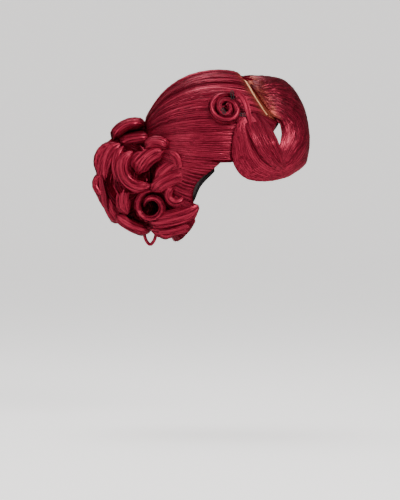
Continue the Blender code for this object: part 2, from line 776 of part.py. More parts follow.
for _ in range(CORE_SMOOTHING):
    rings = [[edge.other_vert(vert).index for edge in vert.link_edges] for vert in bm.verts]
    means = [sum(lengths[i] for i in ring) / len(ring) for ring in rings]
    lengths = [min(length, mean + CORE_REST) for length, mean in zip(lengths, means)]
for vert in bm.verts:
    vert.co = core_middle + spokes[vert.index].normalized() * lengths[vert.index]
chignon_core = add_object("chignon_core", bm, hair)
make_room(chignon_core, around_core)
bpy.data.objects.remove(head_room, do_unlink=True)

# Hanging loop: one thin strand that has slipped out under the bun.
# Columns: x y z from the middle of the bun, as shares of its half sizes
LOOP_PATH = (
    (-0.20, -0.03, -0.84),
    (-0.20, -0.06, -0.98),
    (-0.20, -0.10, -1.09),
    (-0.20, -0.18, -1.16),
    (-0.20, -0.26, -1.09),
    (-0.20, -0.30, -0.98),
    (-0.20, -0.33, -0.84),
)
loop_rings = []
for i, row in enumerate(LOOP_PATH):
    before = Vector(LOOP_PATH[max(i - 1, 0)])
    after = Vector(LOOP_PATH[min(i + 1, len(LOOP_PATH) - 1)])
    sizes = Vector((BUN_HALF_WIDTH, BUN_HALF_LENGTH, BUN_HALF_HEIGHT))
    ahead = ((after - before) * sizes).normalized()
    across = Vector((1, 0, 0))
    spot = BUN_CENTRE + Vector(row) * sizes
    loop_rings.append(
        lock_ring(spot, across, across.cross(ahead), STRAND_WIDTH, STRAND_WIDTH, 6)
    )
hanging_loop = loft("hanging_loop", loop_rings, hair)
make_room(hanging_loop, [chignon_core, nape_hair] + curls)

# Hair pins: a bent wire each, laid on the hair from the wearer's right side.
# Columns: name; middle y z as shares of the head sizes; slant in degrees; length as a share
PINS = (
    ("pin_rosette", -0.150, -0.300, 84, 0.80),
    ("pin_rosette_heart", -0.015, -0.560, 60, 0.55),
    ("pin_swoop", -0.330, -0.615, 6, 0.85),
)


def pin_wire(name, y, z, slant, share, under):
    """A bent wire pin, both legs at one distance outside the pieces under it."""
    length = PIN_LENGTH * share
    ahead = Vector((0, math.cos(math.radians(slant)), math.sin(math.radians(slant))))
    aside = Vector((0, -ahead.z, ahead.y)) * PIN_DIAMETER
    middle = head_place(0, y, z)
    path = []
    for leg, low, high in ((-1, -0.5, 0.42), (-0.55, 0.5, 0.5), (0.55, 0.5, 0.5), (1, 0.42, -0.5)):
        for place in (low, high) if low != high else (low,):
            path.append(middle + ahead * (length * place) + aside * leg)
    trees = [surface_tree(evaluated_mesh(piece)) for piece in under]
    outermost = 0.0
    under_wire = [between(a, b, k / 4) for a, b in zip(path, path[1:]) for k in range(5)]
    for spot in under_wire:
        for tree in trees:
            hit = tree.ray_cast(spot - Vector((2 * HALF_WIDTH, 0, 0)), Vector((1, 0, 0)))[0]
            if hit is not None:
                outermost = min(outermost, hit.x)
    curve = bpy.data.curves.new(name, "CURVE")
    curve.dimensions = "3D"
    curve.bevel_depth = PIN_DIAMETER / 2
    curve.bevel_resolution = 1
    curve.use_fill_caps = True
    line = curve.splines.new("POLY")
    line.points.add(len(path) - 1)
    for point, spot in zip(line.points, path):
        spot.x = outermost - PIN_DIAMETER - PIECE_GAP
        point.co = (*spot, 1)
    wire = bpy.data.objects.new(name + " line", curve)
    wig.objects.link(wire)
    bm = bmesh.new()
    bm.from_mesh(evaluated_mesh(wire))
    bmesh.ops.remove_doubles(bm, verts=bm.verts, dist=WELD)
    bpy.data.objects.remove(wire, do_unlink=True)
    return add_object(name, bm, pin_metal)


for name, y, z, slant, share in PINS:
    pin_wire(name, y, z, slant, share, [crown_hair, rosette_curl, front_swoop, temple_lock])
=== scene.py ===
"""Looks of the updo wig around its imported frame: burgundy fibre hair on an open cap."""

import math

import bpy
import numpy as np
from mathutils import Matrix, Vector
from mathutils.bvhtree import BVHTree


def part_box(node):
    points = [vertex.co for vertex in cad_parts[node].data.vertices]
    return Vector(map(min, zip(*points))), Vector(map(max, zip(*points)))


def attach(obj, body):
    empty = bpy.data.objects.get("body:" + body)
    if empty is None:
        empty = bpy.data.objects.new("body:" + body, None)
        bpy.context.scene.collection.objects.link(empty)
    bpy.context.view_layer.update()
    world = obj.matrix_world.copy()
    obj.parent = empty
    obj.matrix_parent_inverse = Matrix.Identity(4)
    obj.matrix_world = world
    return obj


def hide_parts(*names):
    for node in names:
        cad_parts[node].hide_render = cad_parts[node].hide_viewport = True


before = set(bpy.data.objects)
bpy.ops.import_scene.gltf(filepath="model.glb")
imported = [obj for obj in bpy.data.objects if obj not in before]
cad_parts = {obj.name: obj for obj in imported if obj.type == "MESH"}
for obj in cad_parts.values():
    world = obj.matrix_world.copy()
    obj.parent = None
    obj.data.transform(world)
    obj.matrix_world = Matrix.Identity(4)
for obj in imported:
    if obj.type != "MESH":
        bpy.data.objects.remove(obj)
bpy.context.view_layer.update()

# Wig cap: a thin stretch net dome, dark, with rows of machine sewn weft across it.
# It is sewn from panels and is open below, where the head goes in.
HALF_WIDTH = 0.077
HALF_LENGTH = 0.098
DOME_HEIGHT = 0.095
LOWER_HEIGHT = 0.215
CAP_WALL = 0.0015
CENTRE = np.array([0.0, 0.0, -DOME_HEIGHT])
# How far down the cap reaches: turn from the face, drop from the crown, in degrees
CAP_EDGE = (
    (0, 66),
    (28, 80),
    (42, 94),
    (60, 110),
    (78, 114),
    (92, 114),
    (104, 122),
    (116, 130),
    (126, 139),
    (150, 142),
    (180, 143),
)


def read_table(rows, at, column=1):
    """Read a column of a table between its rows, smoothly; the first column is the place."""
    places = np.array([row[0] for row in rows], float)
    values = np.array([row[column] for row in rows], float)
    slopes = np.zeros(len(rows))
    slopes[1:-1] = (values[2:] - values[:-2]) / (places[2:] - places[:-2])
    at = np.clip(at, places[0], places[-1])
    low = np.clip(np.searchsorted(places, at, side="right") - 1, 0, len(rows) - 2)
    step = places[low + 1] - places[low]
    share = (at - places[low]) / step
    rest = 1 - share
    line = values[low] + (values[low + 1] - values[low]) * share * share * (3 - 2 * share)
    return line + step * share * rest * (slopes[low] * rest - slopes[low + 1] * share)


def unit(vectors):
    """The vectors at length one."""
    return vectors / np.maximum(np.linalg.norm(vectors, axis=-1, keepdims=True), 1e-9)


def head_form(heading, grow):
    """Points of the head form in these headings, grown outwards, and its normals there."""
    upper = np.array([HALF_WIDTH, HALF_LENGTH, DOME_HEIGHT])
    lower = np.array([HALF_WIDTH, HALF_LENGTH, LOWER_HEIGHT])
    sizes = np.where(heading[..., 2:3] >= 0, upper, lower)
    place = heading / np.linalg.norm(heading / sizes, axis=-1, keepdims=True)
    out = unit(place / sizes**2)
    return CENTRE + place + out * np.asarray(grow)[..., None], out


def by_drop(turn, drop, grow):
    """Head form by compass turn from the face and by drop from the crown, in degrees."""
    turn, drop, grow = np.broadcast_arrays(turn, drop, grow)
    around, down = np.radians(turn), np.radians(drop)
    heading = [np.sin(down) * np.sin(around), -np.sin(down) * np.cos(around), np.cos(down)]
    return head_form(np.stack(heading, -1), grow)


def by_sweep(turn, reach, grow):
    """Head form by turn round the root of the bun, 0 up, and by reach away from it."""
    turn, reach, grow = np.broadcast_arrays(turn, reach, grow)
    around, away = np.radians(turn), np.radians(reach)
    heading = [np.sin(away) * np.sin(around), np.cos(away), np.sin(away) * np.cos(around)]
    return head_form(np.stack(heading, -1), grow)


def sheet_faces(points, tile=(1.0, 1.0), around=False):
    """A grid of points as a mesh part: places, four-cornered faces, UV pairs and look 0."""
    rows, columns = points.shape[:2]
    index = np.arange(rows * columns).reshape(rows, columns)
    right = np.roll(index, -1, 1) if around else index[:, 1:]
    left = index if around else index[:, :-1]
    faces = np.stack([left[:-1], right[:-1], right[1:], left[1:]], -1).reshape(-1, 4)
    across = np.linspace(0, tile[0], columns + (1 if around else 0))
    along = 0.4 + np.linspace(0, tile[1], rows)
    spread = np.arange(len(across) - 1)
    corner = np.stack(
        [
            np.stack(np.meshgrid(across[spread + k], along[np.arange(rows - 1) + j]), -1)
            for j, k in ((0, 0), (0, 1), (1, 1), (1, 0))
        ],
        2,
    )
    return points.reshape(-1, 3), faces, corner.reshape(-1, 4, 2), 0


def add_piece(name, parts, *looks):
    """Join mesh parts into one object of this name, each part in its look of those given."""
    places, faces, corners, worn, start = [], [], [], [], 0
    for part_places, part_faces, part_corners, look in parts:
        places.append(part_places)
        faces.append(part_faces + start)
        corners.append(part_corners)
        worn.append(np.full(len(part_faces), min(look, len(looks) - 1), np.int32))
        start += len(part_places)
    places = np.concatenate(places).astype(np.float32)
    faces = np.concatenate(faces).astype(np.int32)
    corners = np.concatenate(corners).astype(np.float32)
    mesh = bpy.data.meshes.new(name)
    mesh.vertices.add(len(places))
    mesh.vertices.foreach_set("co", places.ravel())
    mesh.loops.add(faces.size)
    mesh.loops.foreach_set("vertex_index", faces.ravel())
    mesh.polygons.add(len(faces))
    mesh.polygons.foreach_set("loop_start", np.arange(0, faces.size, 4, dtype=np.int32))
    mesh.polygons.foreach_set("use_smooth", np.full(len(faces), True))
    layer = mesh.uv_layers.new(name="UVMap")
    layer.data.foreach_set("uv", corners.ravel())
    mesh.update(calc_edges=True)
    for look in looks:
        mesh.materials.append(look)
    mesh.polygons.foreach_set("material_index", np.concatenate(worn))
    mesh.validate()
    piece = bpy.data.objects.new(name, mesh)
    bpy.context.scene.collection.objects.link(piece)
    return piece


def stand_for(piece, slot, *nodes):
    """Fix a piece to the wig in place of its plain solids."""
    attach(piece, "root")
    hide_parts(*nodes)


def new_look(name, colour, roughness):
    """A new material, its node tree and its Principled shader."""
    made = bpy.data.materials.new(name)
    made.use_nodes = True
    tree = made.node_tree
    shader = tree.nodes["Principled BSDF"]
    shader.inputs["Base Color"].default_value = (*colour, 1)
    shader.inputs["Roughness"].default_value = roughness
    return made, tree, shader


def mix_colours(tree, mask, first, second):
    """From the first colour to the second as the mask rises; each a colour or a socket."""
    mix = tree.nodes.new("ShaderNodeMix")
    mix.data_type = "RGBA"
    tree.links.new(mask, mix.inputs["Factor"])
    for name, colour in (("A", first), ("B", second)):
        if isinstance(colour, tuple):
            mix.inputs[name].default_value = (*colour, 1)
        else:
            tree.links.new(colour, mix.inputs[name])
    return mix.outputs["Result"]


def remap(tree, value, low, high, start=0.0, stop=1.0):
    """The value read from start to stop as it goes from low to high, and held beyond."""
    ramp = tree.nodes.new("ShaderNodeMapRange")
    ramp.inputs["From Min"].default_value = low
    ramp.inputs["From Max"].default_value = high
    ramp.inputs["To Min"].default_value = start
    ramp.inputs["To Max"].default_value = stop
    tree.links.new(value, ramp.inputs["Value"])
    return ramp.outputs["Result"]


def raise_by(tree, shader, height, strength, depth):
    """Bump the surface by a height."""
    raised = tree.nodes.new("ShaderNodeBump")
    raised.inputs["Strength"].default_value = strength
    raised.inputs["Distance"].default_value = depth
    tree.links.new(height, raised.inputs["Height"])
    tree.links.new(raised.outputs["Normal"], shader.inputs["Normal"])


def net_group():
    """Shared effect: fine knitted net, its threads as a mask and a height."""
    group = bpy.data.node_groups.new("knitted net", "ShaderNodeTree")
    face = group.interface
    face.new_socket(name="Place", in_out="INPUT", socket_type="NodeSocketVector")
    face.new_socket(name="Mesh scale", in_out="INPUT", socket_type="NodeSocketFloat")
    face.new_socket(name="Thread", in_out="OUTPUT", socket_type="NodeSocketFloat")
    nodes, links = group.nodes, group.links
    enter, leave = nodes.new("NodeGroupInput"), nodes.new("NodeGroupOutput")
    cells = nodes.new("ShaderNodeTexVoronoi")
    cells.feature = "DISTANCE_TO_EDGE"
    cells.inputs["Randomness"].default_value = 0.25
    links.new(enter.outputs["Place"], cells.inputs["Vector"])
    links.new(enter.outputs["Mesh scale"], cells.inputs["Scale"])
    thread = remap(group, cells.outputs["Distance"], 0.06, 0.16, 1.0, 0.0)
    links.new(thread, leave.inputs["Thread"])
    return group


KNITTED_NET = net_group()


def knitted(tree, scale):
    """The threads of a net of this fineness over a piece, as a mask."""
    place = tree.nodes.new("ShaderNodeTexCoord")
    net = tree.nodes.new("ShaderNodeGroup")
    net.node_tree = KNITTED_NET
    net.inputs["Mesh scale"].default_value = scale
    tree.links.new(place.outputs["Object"], net.inputs["Place"])
    return net.outputs["Thread"]


cap_look, tree, shader = new_look("stretch net", (0.02, 0.012, 0.013), 0.85)
nodes, links = tree.nodes, tree.links
threads = knitted(tree, 620.0)
tint = mix_colours(tree, threads, (0.024, 0.016, 0.018), (0.062, 0.042, 0.044))
# The sewn rows of weft show as paler stitched stripes with the roots of the hair in them
WEFT_ROWS = 9
CAP_TILES = 14
ROUND_TILES = 40
rows_at = nodes.new("ShaderNodeUVMap")
row_place = nodes.new("ShaderNodeSeparateXYZ")
links.new(rows_at.outputs["UV"], row_place.inputs["Vector"])
row_count = nodes.new("ShaderNodeMath")
row_count.operation = "MULTIPLY_ADD"
row_count.inputs[1].default_value = WEFT_ROWS / CAP_TILES
row_count.inputs[2].default_value = -0.4 * WEFT_ROWS / CAP_TILES
links.new(row_place.outputs["Y"], row_count.inputs[0])
row_wave = nodes.new("ShaderNodeMath")
row_wave.operation = "PINGPONG"
row_wave.inputs[1].default_value = 0.5
links.new(row_count.outputs["Value"], row_wave.inputs[0])
row_mask = remap(tree, row_wave.outputs["Value"], 0.33, 0.37)
stitch = nodes.new("ShaderNodeTexNoise")
stitch.noise_dimensions = "2D"
stitch.inputs["Scale"].default_value = 14.0
stretch = nodes.new("ShaderNodeMapping")
stretch.inputs["Scale"].default_value = (3.0, 0.4, 1.0)
links.new(rows_at.outputs["UV"], stretch.inputs["Vector"])
links.new(stretch.outputs["Vector"], stitch.inputs["Vector"])
weft_tint = mix_colours(tree, stitch.outputs["Fac"], (0.025, 0.006, 0.008), (0.190, 0.030, 0.042))
sewn = mix_colours(tree, row_mask, tint, weft_tint)
links.new(sewn, shader.inputs["Base Color"])
raise_by(tree, shader, threads, 0.7, 0.0006)

turns = np.linspace(0, 360, 109)[:-1][None, :]
downs = np.linspace(0.004, 1, 37)[:, None]
edge = read_table(CAP_EDGE, np.minimum(turns, 360 - turns))
# Weft rows stand 0.5 mm inwards of the net, one each 15 mm or so down the cap
weft = 0.0005 * (np.abs(((downs * WEFT_ROWS) % 1) - 0.5) < 0.16)
inside = by_drop(turns, edge * downs, -weft + 0 * edge)[0]
outside = by_drop(turns, edge * downs, CAP_WALL - 0.0001)[0]
rim = np.stack([inside[-1], outside[-1]])
cap = add_piece(
    "cap_net",
    [
        sheet_faces(inside, (ROUND_TILES, CAP_TILES), True),
        sheet_faces(outside[::-1], (ROUND_TILES, CAP_TILES), True),
        sheet_faces(rim, (ROUND_TILES, 1), True),
    ],
    cap_look,
)
stand_for(cap, "cap_net", "wig_cap")

# Nape band: black ribbed elastic tape, sewn along the cap's edge from ear to ear.
# Its ribs run along the tape and its edges are slightly rolled.
BAND_WIDTH = 0.007
BAND_WALL = 0.0018
SEAM_GAP = 0.0009
BAND_START = 99
band_turn = np.linspace(360 - BAND_START, BAND_START, 260)[:, None]
side = np.minimum(band_turn, 360 - band_turn)
band_edge = read_table(CAP_EDGE, side)
base_line = by_drop(band_turn, band_edge, 0)[0]
below = by_drop(band_turn, band_edge + 1, 0)[0]
down = unit(below - base_line)
outward = by_drop(band_turn, band_edge + 2, 0)[1]
# Section of the tape: share of its width, share of its wall, with five small ribs
section = []
for k in range(12):
    section.append((k / 11, 1.0 - 0.16 * (k % 2)))
section.append((1.03, 0.5))
for k in range(12):
    section.append((1 - k / 11, 0.14 * (k % 2)))
section.append((-0.03, 0.5))
section = np.array(section)
drop = (SEAM_GAP + BAND_WIDTH * section[:, 0])[None, :, None]
stand = (BAND_WALL * section[:, 1])[None, :, None]
tape = base_line + down * drop + outward * stand
band_look, tree, shader = new_look("black elastic", (0.006, 0.005, 0.006), 0.8)
shader.inputs["Specular IOR Level"].default_value = 0.15
nodes, links = tree.nodes, tree.links
place = nodes.new("ShaderNodeUVMap")
rib = nodes.new("ShaderNodeTexWave")
rib.bands_direction = "Y"
rib.inputs["Scale"].default_value = 60.0
rib.inputs["Distortion"].default_value = 0.4
links.new(place.outputs["UV"], rib.inputs["Vector"])
raise_by(tree, shader, rib.outputs["Fac"], 0.6, 0.0004)
# The grooves between the ribs are painted darker than the ribs: painted shade
tint = mix_colours(tree, rib.outputs["Fac"], (0.004, 0.003, 0.004), (0.020, 0.017, 0.018))
links.new(tint, shader.inputs["Base Color"])
band = add_piece("elastic_band", [sheet_faces(tape, (1, 4), True)], band_look)
stand_for(band, "elastic", "nape_band")

# Parting lace: a tan strip of fine lace that shows between the two combed sides.
# Single hairs are knotted into it, each knot a dark dot.
PIECE_GAP = 0.0004
LACE_WIDTH = 0.0065
LACE_WALL = 0.0009
# The parting round the root of the bun: turn, 0 up, and reach away from it, in degrees
PART_LINE = (
    (8, 109.0),
    (-8, 111.5),
    (-22, 116.0),
    (-35, 123.0),
    (-47, 132.0),
    (-57, 139.5),
)
PART_TURNS = tuple((-turn, reach) for turn, reach in PART_LINE)


def part_reach(turn):
    """How far from the root of the bun the parting lies at this turn."""
    return read_table(PART_TURNS, -np.asarray(turn, float))


lace_turn = np.linspace(4.1, -53.1, 90)[:, None]
lace_mid, lace_out = by_sweep(lace_turn, part_reach(lace_turn), CAP_WALL + PIECE_GAP)
lace_ahead = unit(np.gradient(lace_mid[:, 0], axis=0))[:, None]
lace_across = np.cross(lace_out, lace_ahead)
section = np.array(
    [(-1, 0), (1, 0), (1, 0.8), (0.6, 1), (0.2, 1.04), (-0.2, 1.04), (-0.6, 1), (-1, 0.8)]
)
strip = (
    lace_mid
    + lace_across * (section[:, 0] * LACE_WIDTH / 2)[None, :, None]
    + lace_out * (section[:, 1] * LACE_WALL)[None, :, None]
)
lace_look, tree, shader = new_look("tan lace", (0.60, 0.27, 0.12), 0.75)
nodes, links = tree.nodes, tree.links
threads = knitted(tree, 1500.0)
tint = mix_colours(tree, threads, (0.84, 0.47, 0.26), (0.62, 0.29, 0.14))
place = nodes.new("ShaderNodeTexCoord")
knots = nodes.new("ShaderNodeTexVoronoi")
knots.inputs["Scale"].default_value = 900.0
links.new(place.outputs["Object"], knots.inputs["Vector"])
dots = remap(tree, knots.outputs["Distance"], 0.16, 0.26, 0.75, 0.0)
knotted = mix_colours(tree, dots, tint, (0.10, 0.012, 0.010))
links.new(knotted, shader.inputs["Base Color"])
raise_by(tree, shader, threads, 0.5, 0.0003)
lace = add_piece("part_lace", [sheet_faces(strip, (1, 12), True)], lace_look)
stand_for(lace, "lace", "parting_lace")

# Crown hair: long straight burgundy fibre, rooted over the crown and combed from the
# hairline and the parting back to the root of the bun. Glossy, in fine ridges.
CAP_GAP = 0.0012
HAIR_DEPTH = 0.020
RIDGE_DEPTH = 0.0016
CROWN_SIDE = 113.5
ROOT_REACH = 8
# Columns: turn to either side, reach of the hairline, share of the reach with full hair
HAIRLINE = (
    (0, 157, 0.69),
    (20, 156, 0.73),
    (32, 155, 0.79),
    (46, 153, 0.86),
    (59, 150, 0.94),
    (95, 139, 0.94),
    (113.5, 118, 0.94),
)
# Columns: reach, share of the hair depth at the top, the same low at the sides
CROWN_DEPTH = (
    (0, 0.80, 0.80),
    (15, 1.06, 0.85),
    (25, 0.94, 0.75),
    (42, 0.82, 0.62),
    (62, 0.66, 0.56),
    (84, 0.50, 0.46),
    (100, 0.44, 0.36),
    (120, 0.42, 0.30),
    (160, 0.36, 0.22),
)
# Combed grooves: turn, half width in degrees, depth in ridge depths
GROOVES = (
    (-104, 6, 1.7),
    (-86, 6, 1.2),
    (-70, 6, 1.5),
    (-52, 6, 1.1),
    (-33, 7, 1.6),
    (-14, 6, 1.0),
    (6, 7, 1.5),
    (26, 6, 1.1),
    (45, 7, 1.5),
    (66, 6, 1.2),
    (88, 7, 1.5),
    (106, 6, 1.1),
)
# How far the hair lies flat beside the parting and how far it rises, ahead of and behind it
FLAT_AHEAD = 1.5
RISE_AHEAD = 3.4
FLAT_BEHIND = 1.2
RISE_BEHIND = 7.4
UNDER_SWOOP = 0.14
EDGE_SHARE = 0.12
# Tones of the hair on top and of the imported hair under it, and the copper of its roots. The hair
# under it is painted darker, as painted shade in the gaps between the strands, and the light tone
# also serves as painted highlight on hairs high in their locks.
DARK = (0.042, 0.0008, 0.0040)
MIDDLE = (0.160, 0.0050, 0.0185)
LIGHT = (0.430, 0.0260, 0.0620)
UNDER_SHADE_MIDDLE = (0.090, 0.0008, 0.0060)
UNDER_SHADE_LIGHT = (0.200, 0.0030, 0.0160)
ROOT = (0.360, 0.0820, 0.0400)
chance = np.random.default_rng(7)


def hair_group():
    """Shared effect: tones of fibre hair from place across the strands and along them."""
    group = bpy.data.node_groups.new("fibre tones", "ShaderNodeTree")
    face = group.interface
    face.new_socket(name="Place", in_out="INPUT", socket_type="NodeSocketVector")
    face.new_socket(name="Own tone", in_out="INPUT", socket_type="NodeSocketFloat")
    for name in ("Dark", "Middle", "Light", "Root"):
        face.new_socket(name=name, in_out="INPUT", socket_type="NodeSocketColor")
    face.new_socket(name="Colour", in_out="OUTPUT", socket_type="NodeSocketColor")
    face.new_socket(name="Height", in_out="OUTPUT", socket_type="NodeSocketFloat")
    face.new_socket(name="Roughness", in_out="OUTPUT", socket_type="NodeSocketFloat")
    nodes, links = group.nodes, group.links
    enter, leave = nodes.new("NodeGroupInput"), nodes.new("NodeGroupOutput")
    found = []
    for across, along, detail in ((900, 1.6, 2.0), (90, 1.0, 1.0)):
        stretch = nodes.new("ShaderNodeMapping")
        stretch.inputs["Scale"].default_value = (across, along, 1.0)
        links.new(enter.outputs["Place"], stretch.inputs["Vector"])
        streak = nodes.new("ShaderNodeTexNoise")
        streak.noise_dimensions = "2D"
        streak.inputs["Scale"].default_value = 1.0
        streak.inputs["Detail"].default_value = detail
        links.new(stretch.outputs["Vector"], streak.inputs["Vector"])
        found.append(streak)
    both = nodes.new("ShaderNodeMix")
    both.data_type = "FLOAT"
    both.inputs["Factor"].default_value = 0.45
    links.new(found[0].outputs["Fac"], both.inputs["A"])
    links.new(found[1].outputs["Fac"], both.inputs["B"])
    # A single hair carries its own tone across; packed hair takes its tone from the streaks
    length = nodes.new("ShaderNodeSeparateXYZ")
    links.new(enter.outputs["Place"], length.inputs["Vector"])
    own = nodes.new("ShaderNodeMath")
    own.operation = "MULTIPLY_ADD"
    own.inputs[1].default_value = 0.30
    links.new(found[0].outputs["Fac"], own.inputs[0])
    links.new(length.outputs["X"], own.inputs[2])
    tone = nodes.new("ShaderNodeMix")
    tone.data_type = "FLOAT"
    links.new(enter.outputs["Own tone"], tone.inputs["Factor"])
    links.new(both.outputs["Result"], tone.inputs["A"])
    links.new(own.outputs["Value"], tone.inputs["B"])
    body = remap(group, tone.outputs["Result"], 0.34, 0.56)
    deep = mix_colours(group, body, enter.outputs["Dark"], enter.outputs["Middle"])
    shine = remap(group, tone.outputs["Result"], 0.52, 0.74)
    bright = mix_colours(group, shine, deep, enter.outputs["Light"])
    # The first centimetre or two of a hair that starts at the parting is tan and copper
    ragged = nodes.new("ShaderNodeMath")
    ragged.operation = "MULTIPLY_ADD"
    ragged.inputs[1].default_value = -0.12
    links.new(found[0].outputs["Fac"], ragged.inputs[0])
    links.new(length.outputs["Y"], ragged.inputs[2])
    near = remap(group, ragged.outputs["Value"], -0.060, 0.026, 0.88, 0.0)
    rooted = mix_colours(group, near, bright, enter.outputs["Root"])
    links.new(rooted, leave.inputs["Colour"])
    links.new(both.outputs["Result"], leave.inputs["Height"])
    rough = remap(group, found[0].outputs["Fac"], 0.0, 1.0, 0.24, 0.40)
    links.new(rough, leave.inputs["Roughness"])
    return group


FIBRE_TONES = hair_group()


def hair_look(name, dark, middle, light, gloss, own_tone):
    """Fibre hair in three tones: glossy single hairs of their own tone, or packed hair."""
    made, tree, shader = new_look(name, middle, 0.38)
    nodes, links = tree.nodes, tree.links
    place = nodes.new("ShaderNodeUVMap")
    tones = nodes.new("ShaderNodeGroup")
    tones.node_tree = FIBRE_TONES
    tones.inputs["Dark"].default_value = (*dark, 1)
    tones.inputs["Middle"].default_value = (*middle, 1)
    tones.inputs["Light"].default_value = (*light, 1)
    tones.inputs["Root"].default_value = (*ROOT, 1)
    tones.inputs["Own tone"].default_value = own_tone
    links.new(place.outputs["UV"], tones.inputs["Place"])
    links.new(tones.outputs["Colour"], shader.inputs["Base Color"])
    shader.inputs["Metallic"].default_value = gloss
    shader.inputs["Specular IOR Level"].default_value = 0.30 * own_tone
    shader.inputs["Specular Tint"].default_value = (1.0, 0.42, 0.50, 1)
    shader.inputs["Roughness"].default_value = 0.7
    if own_tone:
        links.new(tones.outputs["Roughness"], shader.inputs["Roughness"])
    else:
        raise_by(tree, shader, tones.outputs["Height"], 0.6, 0.0006)
    return made


FIBRE = hair_look("burgundy fibre", DARK, MIDDLE, LIGHT, 0.42, 1.0)
# The packed hair under the strands has no gloss and darker tones: painted shade in the gaps between
# the strands
PACKED_SHADE = hair_look("packed fibre in painted shade", DARK, UNDER_SHADE_MIDDLE, UNDER_SHADE_LIGHT, 0.0, 0.0)


def each_hair(count, low=0.0, high=1.0):
    """A random number for each of this many hairs, as a column."""
    return chance.uniform(low, high, (count, 1))


def strands(paths, outs, width, high=0.5, rooted=False, roll=0.35):
    """Flat hairs along paths[hair, step] that face out, as a mesh part in look 1.

    High is how far a hair stands up in its lock, 0 to 1, and sets its tone: higher hairs are
    painted lighter and lower ones darker, a painted highlight and painted shade. A rooted hair
    starts at the parting, where it is copper. Roll is how much the hairs are turned.
    """
    count, steps = paths.shape[:2]
    ahead = unit(np.gradient(paths, axis=1))
    side = unit(np.cross(ahead, outs))
    up = np.cross(side, ahead)
    lean = chance.normal(0, roll, (count, 1, 1))
    across = side * np.cos(lean) + up * np.sin(lean)
    along = np.linspace(0, 1, steps)
    ends = np.clip(np.minimum(along, 1 - along) / 0.12, 0.25, 1)
    half = np.asarray(width).reshape(-1, 1, 1) / 2 * ends[None, :, None]
    edges = np.stack([paths - across * half, paths + across * half], 2)
    index = np.arange(count * steps * 2).reshape(count, steps, 2)
    faces = np.stack(
        [index[:, :-1, 0], index[:, :-1, 1], index[:, 1:, 1], index[:, 1:, 0]], -1
    )
    # Tone of a hair: partly its own random tone, partly painted highlight and shade by how high it
    # lies
    tone = 0.16 + 0.26 * each_hair(count) + 0.26 * (high + np.zeros((count, steps)))
    gone = np.linalg.norm(np.diff(paths, axis=1), axis=-1).cumsum(1)
    length = np.concatenate([np.zeros((count, 1)), gone], 1) / 0.25
    length = length + (0 if rooted else 0.3 + each_hair(count))
    corner = np.zeros((count, steps - 1, 4, 2))
    corner[..., 0:2, 0] = tone[:, :-1, None] + np.array([0, 0.0004])
    corner[..., 2:4, 0] = tone[:, 1:, None] + np.array([0.0004, 0])
    corner[..., 0:2, 1] = length[:, :-1, None]
    corner[..., 2:4, 1] = length[:, 1:, None]
    return edges.reshape(-1, 3), faces.reshape(-1, 4), corner.reshape(-1, 4, 2), 1


waves = np.random.default_rng(11).uniform((0.4, 0.8, 0.0), (1.7, 3.2, 6.3), (7, 3))


def ripple(across, along, size):
    """A smooth shared wander, so that hairs side by side bend together."""
    total = 0
    for fast, slow, phase in waves:
        total = total + np.sin(across * fast + along * slow + phase)
    return total * (size / 2.6)


def clumped(across, along, lock):
    """Hairs drawn towards the middles of fine locks: the shift and how high each lies, 0 to 1."""
    phase = 2 * math.pi * across / lock + ripple(across / lock / 2.2, along * 1.5, 3.4)
    strong = np.clip(0.5 + ripple(across / lock / 3 + 7, along * 2, 0.55), 0.05, 1)
    return -np.sin(phase) * lock * 0.14 * strong, 0.5 + 0.5 * np.cos(phase) * strong


def relief(angle, share, locks, seed):
    """Rise of the fine locks that lie side by side round a curl, about -1 to 1."""
    first = np.cos(locks * angle + seed + 2.2 * np.sin(1.7 * share + seed))
    second = np.cos((2 * locks + 1) * angle - 2 * seed - 2.6 * share)
    return 0.62 * first + 0.38 * second


def slow_noise(count, steps, knots, size):
    """A gentle random wander for each hair, of about this size."""
    spots = chance.normal(0, size, (count, knots))
    at = np.linspace(0, knots - 1, steps)
    low = np.minimum(at.astype(int), knots - 2)
    share = at - low
    share = share * share * (3 - 2 * share)
    return spots[:, low] * (1 - share) + spots[:, low + 1] * share


def crown_height(turn, reach):
    """Height of the crown hair over the head form."""
    side = np.abs(turn)
    line = read_table(HAIRLINE, side, 1)
    along = (reach - ROOT_REACH) / (line - ROOT_REACH)
    front = read_table(HAIRLINE, side, 2)
    front = np.where(turn > 0, np.minimum(0.94, front * (1 + 0.10 * np.minimum(1, turn / 30))), front)
    top = read_table(CROWN_DEPTH, reach, 1)
    low = read_table(CROWN_DEPTH, reach, 2)
    full = top + (low - top) * np.minimum(1, side / 95) ** 2
    sunk = np.zeros_like(full)
    for middle, half, depth in GROOVES:
        off = np.minimum(1, np.abs(turn - middle) / half)
        sunk = sunk + depth * (1 + np.cos(math.pi * off)) / 2
    full = full - sunk * RIDGE_DEPTH / HAIR_DEPTH * np.minimum(1, reach / 40)
    full = np.where((along > front + 0.01) & (side < 57), UNDER_SWOOP, full)
    taper = np.clip((1 - along) / 0.22, 0, 1)
    share = np.maximum(EDGE_SHARE, full * np.sqrt(np.maximum(0, 1 - (1 - taper) ** 2)))
    # The hair sinks to the lace at the parting, over a longer way behind it
    off = reach - part_reach(turn)
    ahead_of_it = (off - FLAT_AHEAD) / RISE_AHEAD
    off = np.maximum(ahead_of_it, (-off - FLAT_BEHIND) / RISE_BEHIND)
    open_here = np.where((turn < 9) & (turn > -58), np.clip(off, 0, 1), 1)
    share = share * (0.02 + 0.98 * open_here * open_here * (3 - 2 * open_here))
    return CAP_WALL + CAP_GAP + HAIR_DEPTH * share


